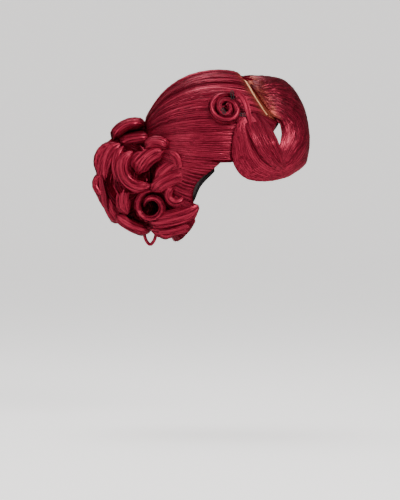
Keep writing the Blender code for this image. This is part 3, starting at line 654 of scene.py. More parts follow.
def closed_sheet(over, under, every):
    """A packed mass of hair between its outer and its inner face, closed round three sides."""
    return [
        sheet_faces(over, (1, 1)),
        sheet_faces(under[::every, ::-3], (1, 1)),
        sheet_faces(np.stack([over[-1], under[-1]]), (1, 0.1)),
        sheet_faces(np.stack([under[:, 0], over[:, 0]]), (1, 0.1)),
        sheet_faces(np.stack([over[:, -1], under[:, -1]]), (1, 0.1)),
    ]


# Under layer: the imported mass of hair, just below the outermost strands, in darker tones as painted
# shade between them
turn = np.linspace(-CROWN_SIDE, CROWN_SIDE, 170)[None, :]
line = read_table(HAIRLINE, np.abs(turn), 1)
reach = ROOT_REACH + (line - ROOT_REACH) * np.linspace(0, 1, 84)[:, None]
turn = turn + 0 * reach
height = crown_height(turn, reach)
over = by_sweep(turn, reach, np.maximum(height - 0.0009, 0.0019))[0]
under = by_sweep(turn, reach, CAP_WALL + CAP_GAP - 0.0009)[0]
parts = closed_sheet(over, under, 4)


def crown_strands(turn, begin, end, steps, lift, width, rooted=False):
    """Hairs over the crown, each at its turn, from one reach to another."""
    count = len(turn)
    share = np.linspace(0, 1, steps)[None, :] ** (1.6 if rooted else 1)
    reach = begin + (end - begin) * share
    free = np.minimum(1, reach / 40) * np.clip(share / 0.1, 0, 1)
    shift, high = clumped(turn, reach / 40, 2.3)
    wide_shift, wide_high = clumped(turn + 50, reach / 60, 6.1)
    bend = turn + (shift + 0.5 * wide_shift + ripple(turn / 9, reach / 50, 1.2)) * free
    high = 0.55 * high + 0.45 * wide_high
    bend = bend + slow_noise(count, steps, 4, 0.22) * free
    height = crown_height(bend, np.maximum(reach, ROOT_REACH))
    layer = each_hair(count, -lift, lift) + slow_noise(count, steps, 4, 0.00012)
    rise = np.clip(share / 0.06, 0, 1)
    places, outs = by_sweep(bend, reach, height + (layer + 0.0007 * (high - 0.5)) * rise)
    return strands(places, outs, chance.uniform(0.5, 1.4, count) * width, high, rooted)


# From the hairline where there is no parting, and from the parting's back edge where there is
turn = each_hair(2900, -CROWN_SIDE + 0.6, CROWN_SIDE - 0.6)
turn = turn[(turn[:, 0] > 8) | (turn[:, 0] < -57)]
start = read_table(HAIRLINE, np.abs(turn), 1) - 0.5
parts.append(crown_strands(turn, start, ROOT_REACH + 0 * turn, 12, 0.0006, 0.0008))
turn = each_hair(1300, -59, 8.5)
start = part_reach(turn) - 0.9 - 1.9 * chance.random(turn.shape) ** 1.4
parts.append(crown_strands(turn, start, ROOT_REACH + 0 * turn, 14, 0.0006, 0.0008, True))
# Shorter hairs rooted all over the crown
turn = each_hair(2350, -CROWN_SIDE + 0.6, CROWN_SIDE - 0.6)
edge = read_table(HAIRLINE, np.abs(turn), 1) - 4
edge = np.where((turn < 9) & (turn > -58), part_reach(turn) - 7, edge)
start = 30 + (edge - 30) * chance.random(turn.shape) ** 0.7
stop = np.maximum(ROOT_REACH, start - chance.uniform(45, 110, turn.shape))
parts.append(crown_strands(turn, start, stop, 9, 0.0008, 0.0007))
# Front layer: short hairs from the parting forward, mostly under the swoop
turn = each_hair(800, -57, 12)
start = part_reach(turn) + 0.75 + 1.7 * chance.random(turn.shape) ** 1.4
stop = read_table(HAIRLINE, np.abs(turn), 1) - 0.3
parts.append(crown_strands(turn, start, stop, 6, 0.0004, 0.0008, True))
# A few loose hairs stand off the rest
turn = each_hair(70, -CROWN_SIDE + 4, CROWN_SIDE - 4)
start = 95 * np.ones(turn.shape) - chance.uniform(0, 50, turn.shape)
parts.append(crown_strands(turn, start, start - 32, 9, 0.0022, 0.0004))
crown = add_piece("crown_locks", parts, PACKED_SHADE, FIBRE)
stand_for(crown, "hair", "crown_hair")

# Nape hair: the fibre below and behind the ears, combed up and back to the bun's root.
# It leaves a soft edge over the elastic band.
# Lower edge of the hair: turn to either side, reach
NAPE_LINE = (
    (113.5, 88),
    (121, 81),
    (130, 71),
    (138, 67),
    (146, 68),
    (152, 72),
    (158, 73),
    (166, 70),
    (180, 66),
)
# Share of the way to that edge, share of the hair depth
NAPE_DEPTH = (
    (0, 0.75),
    (0.35, 0.80),
    (0.65, 0.62),
    (0.85, 0.42),
    (1, 0.16),
)
NAPE_RIDGES = 6
spread = 360 - 2 * CROWN_SIDE


def nape_place(u, v, lift):
    """A place on the nape hair by shares across and down it, at a height over its surface."""
    u, v = np.broadcast_arrays(u, v)
    turn = CROWN_SIDE + spread * (1 - u)
    line = read_table(NAPE_LINE, np.minimum(turn, 360 - turn))
    reach = ROOT_REACH + (line - ROOT_REACH) * v
    share = read_table(NAPE_DEPTH, np.clip(v, 0, 1))
    ridge = np.cos(2 * math.pi * NAPE_RIDGES * u) * RIDGE_DEPTH / HAIR_DEPTH * 0.5
    share = np.maximum(EDGE_SHARE, share + ridge * np.sin(math.pi * v))
    return by_sweep(turn, reach, BAND_WALL + CAP_GAP + HAIR_DEPTH * share + lift)


across, down = np.linspace(0.004, 0.996, 100)[None, :], np.linspace(0, 1, 41)[:, None]
over = nape_place(across, down, -0.0009)[0]
u, v = np.broadcast_arrays(across, down)
turn = CROWN_SIDE + spread * (1 - u)
reach = ROOT_REACH + (read_table(NAPE_LINE, np.minimum(turn, 360 - turn)) - ROOT_REACH) * v
under = by_sweep(turn, reach, BAND_WALL + CAP_GAP)[0]
parts = closed_sheet(over, under, 3)
count, steps = 2750, 10
u = each_hair(count, 0.004, 0.996)
top = 1.0 - each_hair(count) ** 1.5 * 0.55 * (each_hair(count) < 0.5)
v = (top + 0.004 * chance.normal(0, 1, (count, 1))) * np.linspace(1, 0, steps)[None, :]
shift, high = clumped(u * 130, v * 2, 2.6)
u = u + (shift + ripple(u * 14, v * 2, 0.9)) / 130 + slow_noise(count, steps, 4, 0.002)
lift = each_hair(count, -0.0007, 0.0006) + 0.0006 * (high - 0.5)
places, outs = nape_place(np.clip(u, 0.002, 0.998), v, lift)
parts.append(strands(places, outs, chance.uniform(0.0004, 0.0010, count), high))
# Hairs along both seams with the crown hair, at heights between the two
for side in (-1, 1):
    count, steps = 330, 11
    turn = CROWN_SIDE + each_hair(count, -4.5, 5.5) + slow_noise(count, steps, 4, 0.3)
    share = np.linspace(1, 0, steps)[None, :]
    reach = ROOT_REACH + (each_hair(count, 60, 84) - ROOT_REACH) * share
    turn = turn + 3.0 * np.sin(math.pi * share) * each_hair(count, -1, 1)
    crown_top = crown_height(np.minimum(turn, CROWN_SIDE) * side, reach)
    line = read_table(NAPE_LINE, np.maximum(turn, CROWN_SIDE))
    deep = read_table(NAPE_DEPTH, np.clip((reach - ROOT_REACH) / (line - ROOT_REACH), 0, 1))
    nape_top = BAND_WALL + CAP_GAP + HAIR_DEPTH * deep
    part_way = np.clip((turn - CROWN_SIDE + 4) / 8, 0, 1)
    lift = crown_top + (nape_top - crown_top) * part_way + each_hair(count, -4e-4, 4e-4)
    places, outs = by_sweep(turn * side, reach, lift)
    high = 0.5 + 0.4 * np.sin(turn * 2.1)
    parts.append(strands(places, outs, chance.uniform(0.0005, 0.0010, count), high))
nape = add_piece("nape_locks", parts, PACKED_SHADE, FIBRE)
stand_for(nape, "hair", "nape_hair")

# Front swoop: a broad bang from the parting, forward and down before the forehead, then
# rolled back under the temple and up to a pin. One smooth sheet of parallel fibre.
SWOOP_WALL = 0.008
SWOOP_SINK = 0.007
# Rows along the swoop: inner edge x y z and outer edge x y z as shares of the head's sizes,
# bulge as a share of its half length, wall at either edge as shares of the swoop's wall
SWOOP = (
    (-0.05, -0.35, 0.02, 0.39, -0.29, 0.02, 0.06, 0.75, 0.75),
    (-0.49, -0.48, -0.18, 0.55, -0.51, -0.17, 0.22, 0.88, 0.88),
    (-0.64, -0.61, -0.40, 0.62, -0.73, -0.40, 0.44, 1.00, 1.00),
    (-0.66, -0.76, -0.60, 0.54, -0.94, -0.66, 0.42, 1.00, 1.00),
    (-0.62, -0.91, -0.72, 0.34, -1.14, -0.95, 0.29, 1.00, 1.12),
    (-0.65, -0.93, -0.89, 0.06, -1.28, -1.18, 0.21, 1.00, 1.25),
    (-0.68, -0.89, -1.07, -0.26, -1.29, -1.37, 0.14, 1.00, 1.50),
    (-0.75, -0.88, -1.20, -0.55, -1.16, -1.49, 0.11, 1.00, 1.75),
    (-0.83, -0.89, -1.27, -0.78, -0.97, -1.59, 0.09, 1.00, 1.88),
    (-0.94, -0.84, -1.24, -0.99, -0.71, -1.65, 0.08, 0.88, 1.88),
    (-1.00, -0.82, -1.12, -1.09, -0.46, -1.65, 0.07, 0.88, 1.75),
    (-1.04, -0.80, -1.00, -1.14, -0.28, -1.57, 0.07, 0.88, 1.50),
    (-1.04, -0.73, -0.88, -1.17, -0.16, -1.37, 0.06, 0.88, 1.25),
    (-1.04, -0.63, -0.78, -1.17, -0.14, -1.11, 0.05, 0.88, 1.12),
    (-1.04, -0.51, -0.69, -1.16, -0.18, -0.86, 0.04, 0.75, 1.00),
    (-1.06, -0.43, -0.61, -1.12, -0.25, -0.68, 0.03, 0.62, 0.62),
)
HEAD_SIZES = np.array([HALF_WIDTH, HALF_LENGTH, DOME_HEIGHT])


def smooth_rows(rows, at):
    """Rows of numbers read between each other along a smooth curve, at these places."""
    rows = np.asarray(rows, float)
    last = len(rows) - 1
    low = np.clip(np.floor(at).astype(int), 0, last - 1)
    share = (at - low)[..., None]
    before, here = rows[np.maximum(low - 1, 0)], rows[low]
    after, beyond = rows[low + 1], rows[np.minimum(low + 2, last)]
    slope, next_slope = (after - before) / 2, (beyond - here) / 2
    square, cube = share**2, share**3
    return (
        here * (2 * cube - 3 * square + 1)
        + slope * (cube - 2 * square + share)
        + after * (3 * square - 2 * cube)
        + next_slope * (cube - square)
    )


def swoop_place(at, across, side, lift):
    """A place on the swoop: row, share across the sheet, side +1 outer or -1 inner face."""
    at, across, side, lift = np.broadcast_arrays(at, across, side, lift)
    row = smooth_rows(SWOOP, at)
    inner = row[..., 0:3] * HEAD_SIZES
    outer = row[..., 3:6] * HEAD_SIZES
    chord = outer - inner
    away = (inner + outer) / 2 - CENTRE
    along_chord = unit(chord)
    away = unit(away - along_chord * np.sum(away * along_chord, -1, keepdims=True))
    bulge = row[..., 6:7] * HALF_LENGTH
    share = across[..., None]
    wall = (row[..., 7:8] + (row[..., 8:9] - row[..., 7:8]) * share) * SWOOP_WALL
    rounded = (1 - (2 * share - 1) ** 2).clip(0, 1) ** 0.35 / 2
    spot = inner + chord * share + away * bulge * np.sin(math.pi * share)
    # The root of the sheet lies down into the hair round it
    spot = spot - away * SWOOP_SINK * np.clip(1 - at[..., None] / 1.6, 0, 1.2) ** 2
    slope = chord + away * bulge * math.pi * np.cos(math.pi * share)
    normal = unit(
        away * np.sum(chord * slope, -1, keepdims=True)
        - chord * np.sum(away * slope, -1, keepdims=True)
    )
    face = side[..., None]
    return spot + normal * face * (rounded * wall + lift[..., None]), normal * face


def round_sheet(steps):
    """Shares across a sheet and its sides, once round its section."""
    angle = 2 * math.pi * (np.arange(steps) + 0.5) / steps
    return (1 - np.cos(angle)) / 2, np.where(np.sin(angle) >= 0, 1.0, -1.0)


share, face = round_sheet(56)
at = np.linspace(0, len(SWOOP) - 1, 110)[:, None]
body = swoop_place(at, share[None, :], face[None, :], -0.0009)[0]
parts = [sheet_faces(body, (1, 1), True)]
LAST_ROW = len(SWOOP) - 1
# Where along the parting the hairs of a row of the swoop are rooted: row, turn in degrees
SWOOP_ROOTS = ((0, -2.5), (0.5, -11.6), (1, -26), (1.5, -34.3), (2, -41.1), (2.5, -50), (2.8, -54))


def swoop_hairs(first, last, lane, steps, outer_face, layer, root=None):
    """Hairs along the swoop from row to row, each in its lane and between the layer's heights.

    With a root, each starts at its root at the parting.
    """
    count = len(first)
    share = np.linspace(0, 1, steps)[None, :] ** (1 if root is None else 1.5)
    at = first + (last - first) * share
    shift, high = clumped(lane * 40, at / 7, 1.9)
    free = np.clip(share / 0.15, 0, 1)
    lane = lane + (shift + ripple(lane * 6, at / 7, 0.3)) / 40 * free
    lane = np.clip(lane + slow_noise(count, steps, 4, 0.002) * free, 0.003, 0.997)
    lift = each_hair(count, *layer) + 0.0004 * (high - 0.5)
    places, outs = swoop_place(at, lane, np.where(outer_face, 1.0, -1.0), lift)
    if root is not None:
        held = (1 - np.clip(share / 0.05, 0, 1)[..., None]) ** 2
        places = places * (1 - held) + root * held
    wide = chance.uniform(0.0004, 0.0011, count)
    # The top of the swoop is painted darker than its arms: painted shade
    high = high - 0.75 * (1 - np.clip(at / 7, 0, 1))
    return strands(places, outs, wide, high, root is not None, 0.12)


# From the parting's front edge out over the sheet, the upper hairs to the outer lanes
count, steps = 1900, 16
first = 2.8 * each_hair(count) ** 1.2
turn = read_table(SWOOP_ROOTS, first)
reach = part_reach(turn) + 0.75 + 1.7 * each_hair(count) ** 1.4
root = by_sweep(turn, reach, CAP_WALL + PIECE_GAP + LACE_WALL)[0]
goal = np.clip(0.97 - 0.90 * first / 2.8 + chance.normal(0, 0.02, (count, 1)), 0.02, 0.98)
last = LAST_ROW - each_hair(count) * np.where(each_hair(count) < 0.25, 4, 0.3)
spread_out = np.clip(np.linspace(0, 1, steps)[None, :] ** 1.5 * (last - first) / 3.4, 0, 1)
lane = goal * (1 - (1 - spread_out) ** 2)
parts.append(swoop_hairs(first, last, lane, steps, True, (-0.0003, 0.0005), root))
# More of them stay close to the parting
count, steps = 500, 14
first = 2.2 * each_hair(count)
reach = part_reach(read_table(SWOOP_ROOTS, first)) + 0.75 + 1.7 * each_hair(count)
root = by_sweep(read_table(SWOOP_ROOTS, first), reach, CAP_WALL + PIECE_GAP + LACE_WALL)[0]
spread_out = np.clip(np.linspace(0, 1, steps)[None, :] ** 1.5 * 3, 0, 1)
lane = each_hair(count, 0.04, 0.34) * (1 - (1 - spread_out) ** 2)
parts.append(swoop_hairs(first, first + 7, lane, steps, True, (-0.0009, -0.0005), root))
# Over the top from the far side, in the outer lanes
count = 1050
first = each_hair(count) * 1.2
lane = each_hair(count, 0.18, 1) + np.zeros((1, 14))
last = LAST_ROW - each_hair(count) * 0.4
parts.append(swoop_hairs(first, last, lane, 14, True, (-0.0008, -0.0001)))
# Shorter hairs that fill the arms, and the inner face
count = 1200
first = 4.0 + each_hair(count) * 6.5
lane = each_hair(count) + np.zeros((1, 9))
last = np.minimum(LAST_ROW, first + each_hair(count, 4, 8))
parts.append(swoop_hairs(first, last, lane, 9, True, (-0.0006, 0.0003)))
count = 750
first = each_hair(count) * 4
lane = each_hair(count) + np.zeros((1, 10))
last = LAST_ROW - each_hair(count) * 4
parts.append(swoop_hairs(first, last, lane, 10, False, (-0.0007, 0.0004)))
swoop = add_piece("swoop_locks", parts, PACKED_SHADE, FIBRE)
stand_for(swoop, "hair", "front_swoop")

# Temple lock: a loose lock from the lower end of the parting, laid over the back arm of
# the swoop, with a soft pointed end.
TEMPLE_LOCK_WIDTH = 0.036
# Rows along the lock: x y z as shares of the head's sizes, then its width and its depth as
# shares of the lock's width and of the swoop's wall
TEMPLE_LOCK = (
    (-0.70, -0.33, -0.44, 0.50, 0.50),
    (-0.90, -0.44, -0.60, 0.95, 0.90),
    (-1.09, -0.55, -0.80, 1.20, 1.00),
    (-1.21, -0.65, -1.02, 1.15, 1.00),
    (-1.21, -0.75, -1.20, 0.95, 0.90),
    (-1.12, -0.85, -1.36, 0.65, 0.80),
    (-0.98, -0.95, -1.47, 0.30, 0.50),
)


def lock_skin(middle, side, out, width, depth, angle, grow):
    """Places round an oval lock and the way out of it there."""
    place = middle + side * np.cos(angle) * (width / 2 + grow)
    place = place + out * np.sin(angle) * (depth / 2 + grow)
    away = side * np.cos(angle) * depth + out * np.sin(angle) * width
    return place, unit(away)


def temple_place(at, angle, grow):
    """A place on the temple lock by its row and its angle round the lock."""
    at, angle, grow = np.broadcast_arrays(at, angle, grow)
    row = smooth_rows(TEMPLE_LOCK, at)
    middle = row[..., :3] * HEAD_SIZES
    ahead = (smooth_rows(TEMPLE_LOCK, at + 0.05) - smooth_rows(TEMPLE_LOCK, at - 0.05))[..., :3]
    ahead = unit(ahead * HEAD_SIZES)
    out = middle - CENTRE
    out = unit(out - ahead * np.sum(out * ahead, -1, keepdims=True))
    side = np.cross(ahead, out)
    width = row[..., 3:4] * TEMPLE_LOCK_WIDTH
    depth = row[..., 4:5] * SWOOP_WALL
    return lock_skin(middle, side, out, width, depth, angle[..., None], grow[..., None])


last = len(TEMPLE_LOCK) - 1
angles = np.linspace(0, 2 * math.pi, 33)[:-1][None, :]
body = temple_place(np.linspace(0.02, last - 0.02, 60)[:, None], angles, -0.0008)[0]
parts = [sheet_faces(body, (0.3, 1), True)]
count, steps = 1500, 11
at = np.linspace(-0.04, 1, steps)[None, :] * (last - 0.45 * each_hair(count))
angle = each_hair(count, 0, 2 * math.pi)
shift, high = clumped(angle * 10, at / 3, 1.9)
angle = angle + (shift + ripple(angle * 3, at / 3, 0.4)) / 10 + slow_noise(count, steps, 4, 0.03)
lift = each_hair(count, -0.0007, 0.0004) + 0.0005 * (high - 0.5)
places, outs = temple_place(at, angle, lift)
parts.append(strands(places, outs, chance.uniform(0.0004, 0.0010, count), high))
temple = add_piece("temple_strands", parts, PACKED_SHADE, FIBRE)
stand_for(temple, "hair", "temple_lock")

# Rosette: a flat pin curl, one ribbon of hair set on edge and wound inwards two turns,
# laid on the side of the crown and pinned.
ROSETTE_TURN = -60.5
ROSETTE_REACH = 93.5
ROSETTE_GROW = 0.0130
ROSETTE_SWEEP = 790
ROSETTE_RADIUS = 0.0285
ROSETTE_BAND = 0.0080
ROSETTE_HEIGHT = 0.017
rosette_base, rosette_out = by_sweep(ROSETTE_TURN, ROSETTE_REACH, ROSETTE_GROW)
rosette_back = np.array([0.0, 1.0, 0.0])
rosette_back = unit(rosette_back - rosette_out * (rosette_back @ rosette_out))
rosette_up = np.cross(rosette_back, rosette_out)
if rosette_up[2] < 0:
    rosette_up = -rosette_up


def rosette_place(share, angle, grow):
    """A place on the wound ribbon by share of its length and angle round its section."""
    share, angle, grow = np.broadcast_arrays(share, angle, grow)
    share, angle, grow = share[..., None], angle[..., None], grow[..., None]
    turn = np.radians(125 - ROSETTE_SWEEP * share)
    near = ROSETTE_RADIUS - ROSETTE_BAND / 2
    radius = near + (ROSETTE_BAND * 0.35 - near) * share
    spoke = rosette_back * np.cos(turn) + rosette_up * np.sin(turn)
    height = ROSETTE_HEIGHT * (0.80 + 0.20 * share)
    middle = rosette_base + spoke * radius + rosette_out * (height / 2 - 0.25 * ROSETTE_HEIGHT)
    middle = middle + spoke * 0.0011 * np.sin(2.3 * turn + 1) + rosette_out * 0.001 * np.sin(turn)
    end = np.minimum(1, 0.35 + 6 * np.minimum(share, 1 - share)) * (1.12 + 0.08 * np.sin(1.6 * turn))
    return lock_skin(middle, spoke, rosette_out, ROSETTE_BAND * end, height, angle, grow)


angles = np.linspace(0, 2 * math.pi, 25)[:-1][None, :]
rings = np.linspace(0, 1, 140)[:, None]
body = rosette_place(rings, angles, 0.0006 * relief(angles, rings * 7, 4, 2) - 0.0012)[0]
parts = [sheet_faces(body, (0.2, 3), True)]
count, steps = 1500, 14
begin = each_hair(count) * 0.76 - 0.01
share = begin + (0.22 + 0.03 * each_hair(count)) * np.linspace(0, 1, steps)[None, :]
angle = each_hair(count, 0, 2 * math.pi) + slow_noise(count, steps, 4, 0.22)
high = 0.5 + 0.5 * relief(angle, share * 7, 4, 2)
lift = each_hair(count, -0.0006, 0.0003) + 0.0010 * (high - 0.5)
places, outs = rosette_place(np.clip(share, 0, 1), angle, lift)
parts.append(strands(places, outs, chance.uniform(0.0005, 0.0010, count), high))
# The end of the swoop's hair runs from the pin up along the rosette and joins its first turn
# Columns: back and up as shares of the rosette's radius, out as a share of its height
TAIL = (
    (-1.30, -0.95, 0.15),
    (-1.18, -0.45, 0.42),
    (-1.08, 0.05, 0.52),
    (-0.86, 0.55, 0.60),
    (-0.42, 0.92, 0.62),
    (0.10, 0.98, 0.50),
)
TAIL_HALF = 0.0036
TAIL_RISE = 0.0022
count, steps = 330, 14
at = np.linspace(0, len(TAIL) - 1, steps)[None, :] + 0 * each_hair(count)
mark = smooth_rows(TAIL, at)
ahead = unit(smooth_rows(TAIL, at + 0.05) - smooth_rows(TAIL, at - 0.05))
lane, layer = each_hair(count, -1, 1), each_hair(count, -1, 1)
fat = 0.25 + np.sin(math.pi * at / (len(TAIL) - 1)) ** 0.8
basis = np.stack([rosette_back, rosette_up, rosette_out])
spot = mark * np.array([ROSETTE_RADIUS, ROSETTE_RADIUS, ROSETTE_HEIGHT])
side = np.stack([-ahead[..., 1], ahead[..., 0], 0 * ahead[..., 0]], -1)
spot = spot + side * (lane * TAIL_HALF * fat)[..., None]
rise = TAIL_RISE * fat * (layer * 0.5 + 0.5) * np.sqrt(np.maximum(0, 1 - lane**2))
spot = spot + np.array([0, 0, 1.0]) * rise[..., None]
outs = unit(side * lane[..., None] * 0.8 + np.array([0, 0, 1.0])) @ basis
wide = chance.uniform(0.0005, 0.0010, count)
# Hairs in the middle of the tail are painted lighter than those at its edges: painted highlight
parts.append(strands(rosette_base + spot @ basis, outs, wide, 0.3 + 0.6 * (1 - lane**2)))
rosette = add_piece("rosette_strands", parts, PACKED_SHADE, FIBRE)
stand_for(rosette, "hair", "rosette_curl")

# Curls and locks of the chignon: each is one lock of the same fibre, combed smooth, wound on
# an arc and pinned to the core of the bun. The ends are tucked in under the next ones.
BUN_CENTRE = np.array([0.0, 0.124, -0.154])
BUN_SIZES = np.array([0.075, 0.075, 0.088])
CURL_RADIUS = 0.030
LOCK_WIDTH = 0.019
# Columns: name; middle of the arc x y z as shares of the bun's half sizes; start and end
# radius as shares of the curl radius; start and sweep in degrees; width and depth as shares
# of the lock width; turn of the plane in degrees; drift across; flattening in height
CURLS = (
    ("curl_top_roll", -0.06, 0.15, 0.52, 1.31, 1.15, 118, -98, 0.98, 3.60, 0, 0.00, 1.00),
    ("curl_top_roll_low", -0.08, 0.05, -0.41, 3.27, 3.12, 103, -34, 1.16, 3.40, 0, 0.00, 1.00),
    ("curl_big_c", -0.75, -0.01, 0.19, 0.92, 1.03, 58, -178, 1.03, 1.20, 8, 0.00, 1.00),
    ("curl_ring", -0.72, -0.22, -0.49, 0.85, 0.36, 120, -480, 0.49, 1.27, 6, 0.10, 1.00),
    ("lock_diagonal", -0.81, -0.59, -0.12, 1.82, 1.75, 80, -60, 1.33, 1.00, 4, -0.15, 1.00),
    ("lock_root_high", -0.83, -0.32, 0.40, 0.67, 0.67, 146, -110, 0.92, 0.93, 4, 0.00, 1.00),
    ("lock_root_low", -0.88, -1.00, -0.91, 2.87, 2.80, 88, -41, 1.23, 0.93, 4, 0.00, 1.00),
    ("lock_middle", -0.85, -1.00, -0.82, 3.34, 2.98, 86, -32, 0.92, 0.93, 4, 0.00, 1.00),
    ("lock_upright", -0.57, 0.05, 0.11, 1.72, 1.77, 55, -72, 1.33, 1.00, 10, 0.00, 1.00),
    ("lock_bright", -0.67, 0.01, 0.21, 1.31, 1.21, 47, -97, 0.77, 0.87, 8, 0.00, 1.00),
    ("curl_heart", -0.63, 0.01, 0.23, 0.56, 0.41, 140, -170, 0.62, 0.87, 0, 0.00, 1.00),
    ("curl_back_loop_high", -0.40, 0.57, 0.23, 1.06, 0.41, 104, -200, 0.82, 1.67, 18, 0.00, 1.00),
    ("curl_back_loop_low", -0.37, 0.71, -0.11, 0.46, 0.41, 100, -205, 0.82, 1.67, 22, 0.00, 1.00),
    ("curl_small_ear_side", -1.01, -0.48, 0.21, 0.73, 0.72, 114, 74, 0.67, 0.60, 0, 0.00, 1.00),
    ("curl_nape_small", -0.80, -0.71, -0.28, 0.41, 0.39, 190, 250, 0.67, 0.87, 0, 0.00, 1.00),
    ("lock_nape_sweep", -0.75, -0.75, 0.66, 3.54, 4.31, 253, 37, 1.44, 1.00, 4, 0.00, 1.00),
    ("lock_nape_under", -0.59, -0.75, 0.49, 3.70, 4.26, 257, 31, 1.23, 1.00, 0, 0.00, 1.00),
    ("lock_back_low", -0.43, 0.07, -0.33, 1.39, 1.44, 26, -80, 1.30, 1.28, 12, 0.00, 1.00),
    ("lock_low_inner", -0.62, -0.12, -0.38, 1.20, 1.23, 62, -96, 1.23, 1.00, 8, 0.00, 1.00),
    ("lock_bottom", -0.47, -0.38, 0.14, 3.18, 3.18, -46, -34, 0.92, 1.20, 0, 0.00, 1.00),
    ("lock_underside", -0.13, -0.07, -0.12, 2.05, 2.05, -60, -42, 1.23, 1.73, 0, 0.00, 1.00),
    ("tail_curl", -0.59, -0.50, -0.89, 0.36, 0.31, 130, 290, 0.51, 0.67, 0, 0.00, 1.00),
    ("curl_left_top", 0.45, 0.13, 0.68, 1.03, 0.26, 170, -300, 0.72, 1.47, 0, 0.00, 0.62),
    ("curl_left_big", 0.72, 0.01, 0.21, 0.92, 0.98, 64, -185, 1.03, 1.33, 8, 0.00, 1.00),
    ("curl_left_ring", 0.69, -0.17, -0.49, 0.85, 0.36, 100, -470, 0.49, 1.33, 6, 0.10, 1.00),
    ("curl_left_loop", 0.37, 0.59, 0.18, 1.02, 0.41, 106, -200, 0.82, 1.67, 18, 0.00, 1.00),
    ("curl_left_loop_low", 0.36, 0.69, -0.19, 0.46, 0.41, 100, -205, 0.82, 1.67, 22, 0.00, 1.00),
    ("lock_left_upright", 0.56, 0.05, 0.12, 1.70, 1.76, 54, -71, 1.30, 1.10, 10, 0.00, 1.00),
    ("lock_left_diagonal", 0.80, -0.59, -0.09, 1.82, 1.75, 86, -66, 1.44, 1.13, 4, -0.15, 1.00),
    ("lock_left_root", 0.84, -1.00, -0.88, 2.98, 2.82, 88, -41, 1.44, 1.07, 4, 0.00, 1.00),
    ("lock_left_nape", 0.72, -0.75, 0.63, 3.54, 4.31, 253, 37, 1.54, 1.13, 4, 0.00, 1.00),
    ("lock_left_nape_under", 0.56, -0.75, 0.49, 3.70, 4.26, 257, 31, 1.23, 1.07, 0, 0.00, 1.00),
    ("lock_left_back_low", 0.44, 0.07, -0.37, 1.39, 1.44, 22, -76, 1.33, 1.22, 12, 0.00, 1.00),
    ("lock_left_inner", 0.59, -0.12, -0.40, 1.20, 1.23, 60, -92, 1.23, 1.07, 8, 0.00, 1.00),
    ("curl_back_high", 0.00, 0.42, 0.30, 1.08, 0.46, 112, -210, 0.92, 1.73, 0, 0.00, 1.00),
    ("curl_back_low", 0.00, 0.41, -0.32, 1.11, 0.46, 72, -200, 1.03, 1.58, 0, 0.00, 1.00),
)


def curl_place(row, share, angle, grow):
    """A place on a curl by share of its length and angle round its section."""
    name, x, y, z, near, far, start, sweep, width, depth, turn, drift, flat = row
    share, angle, grow = np.broadcast_arrays(share, angle, grow)
    share, angle, grow = share[..., None], angle[..., None], grow[..., None]
    hand = -1 if x > 0 else 1
    swing = math.radians(turn)
    axis = np.array([-hand * math.cos(swing), math.sin(swing), 0])
    back = np.array([hand * math.sin(swing), math.cos(swing), 0])
    middle = BUN_CENTRE + np.array([x, y, z]) * BUN_SIZES
    around = np.radians(start + sweep * share)
    spoke = back * np.cos(around) + np.array([0, 0, 1]) * np.sin(around)
    radius = (near + (far - near) * share) * CURL_RADIUS
    spot = spoke * radius + axis * (drift * CURL_RADIUS * share)
    spot = spot * np.array([1, 1, flat]) + middle
    inside = np.minimum(share, 1 - share)
    end = 0.24 + 0.76 * np.sin(math.pi / 2 * np.clip(inside / 0.2, 0, 1))
    end = np.where(inside < 0, np.maximum(0.03, 0.24 + 2 * inside), end)
    wide, deep = width * LOCK_WIDTH * end, depth * LOCK_WIDTH * end
    # Past its ends the hair dives towards the middle of the bun
    past = np.maximum(0, -inside) * math.radians(abs(sweep)) * CURL_RADIUS
    spot = spot + unit(BUN_CENTRE - spot) * np.minimum(0.006, past * past / 0.02)
    return lock_skin(spot, spoke, axis, wide, deep, angle, grow * np.minimum(1, end * 2))


CAP_CLEAR = 0.0010
CAP_BOTTOM = -0.165


def clear_of_cap(places):
    """The places, those in the cap moved out to its outer side."""
    heading = places - CENTRE
    wall = head_form(heading, CAP_WALL + CAP_CLEAR + 0 * places[..., 0])[0] - CENTRE
    share = np.linalg.norm(wall, axis=-1) / np.linalg.norm(heading, axis=-1)
    share = np.where(places[..., 2] > CAP_BOTTOM, np.maximum(1, share), 1)
    return CENTRE + heading * share[..., None]


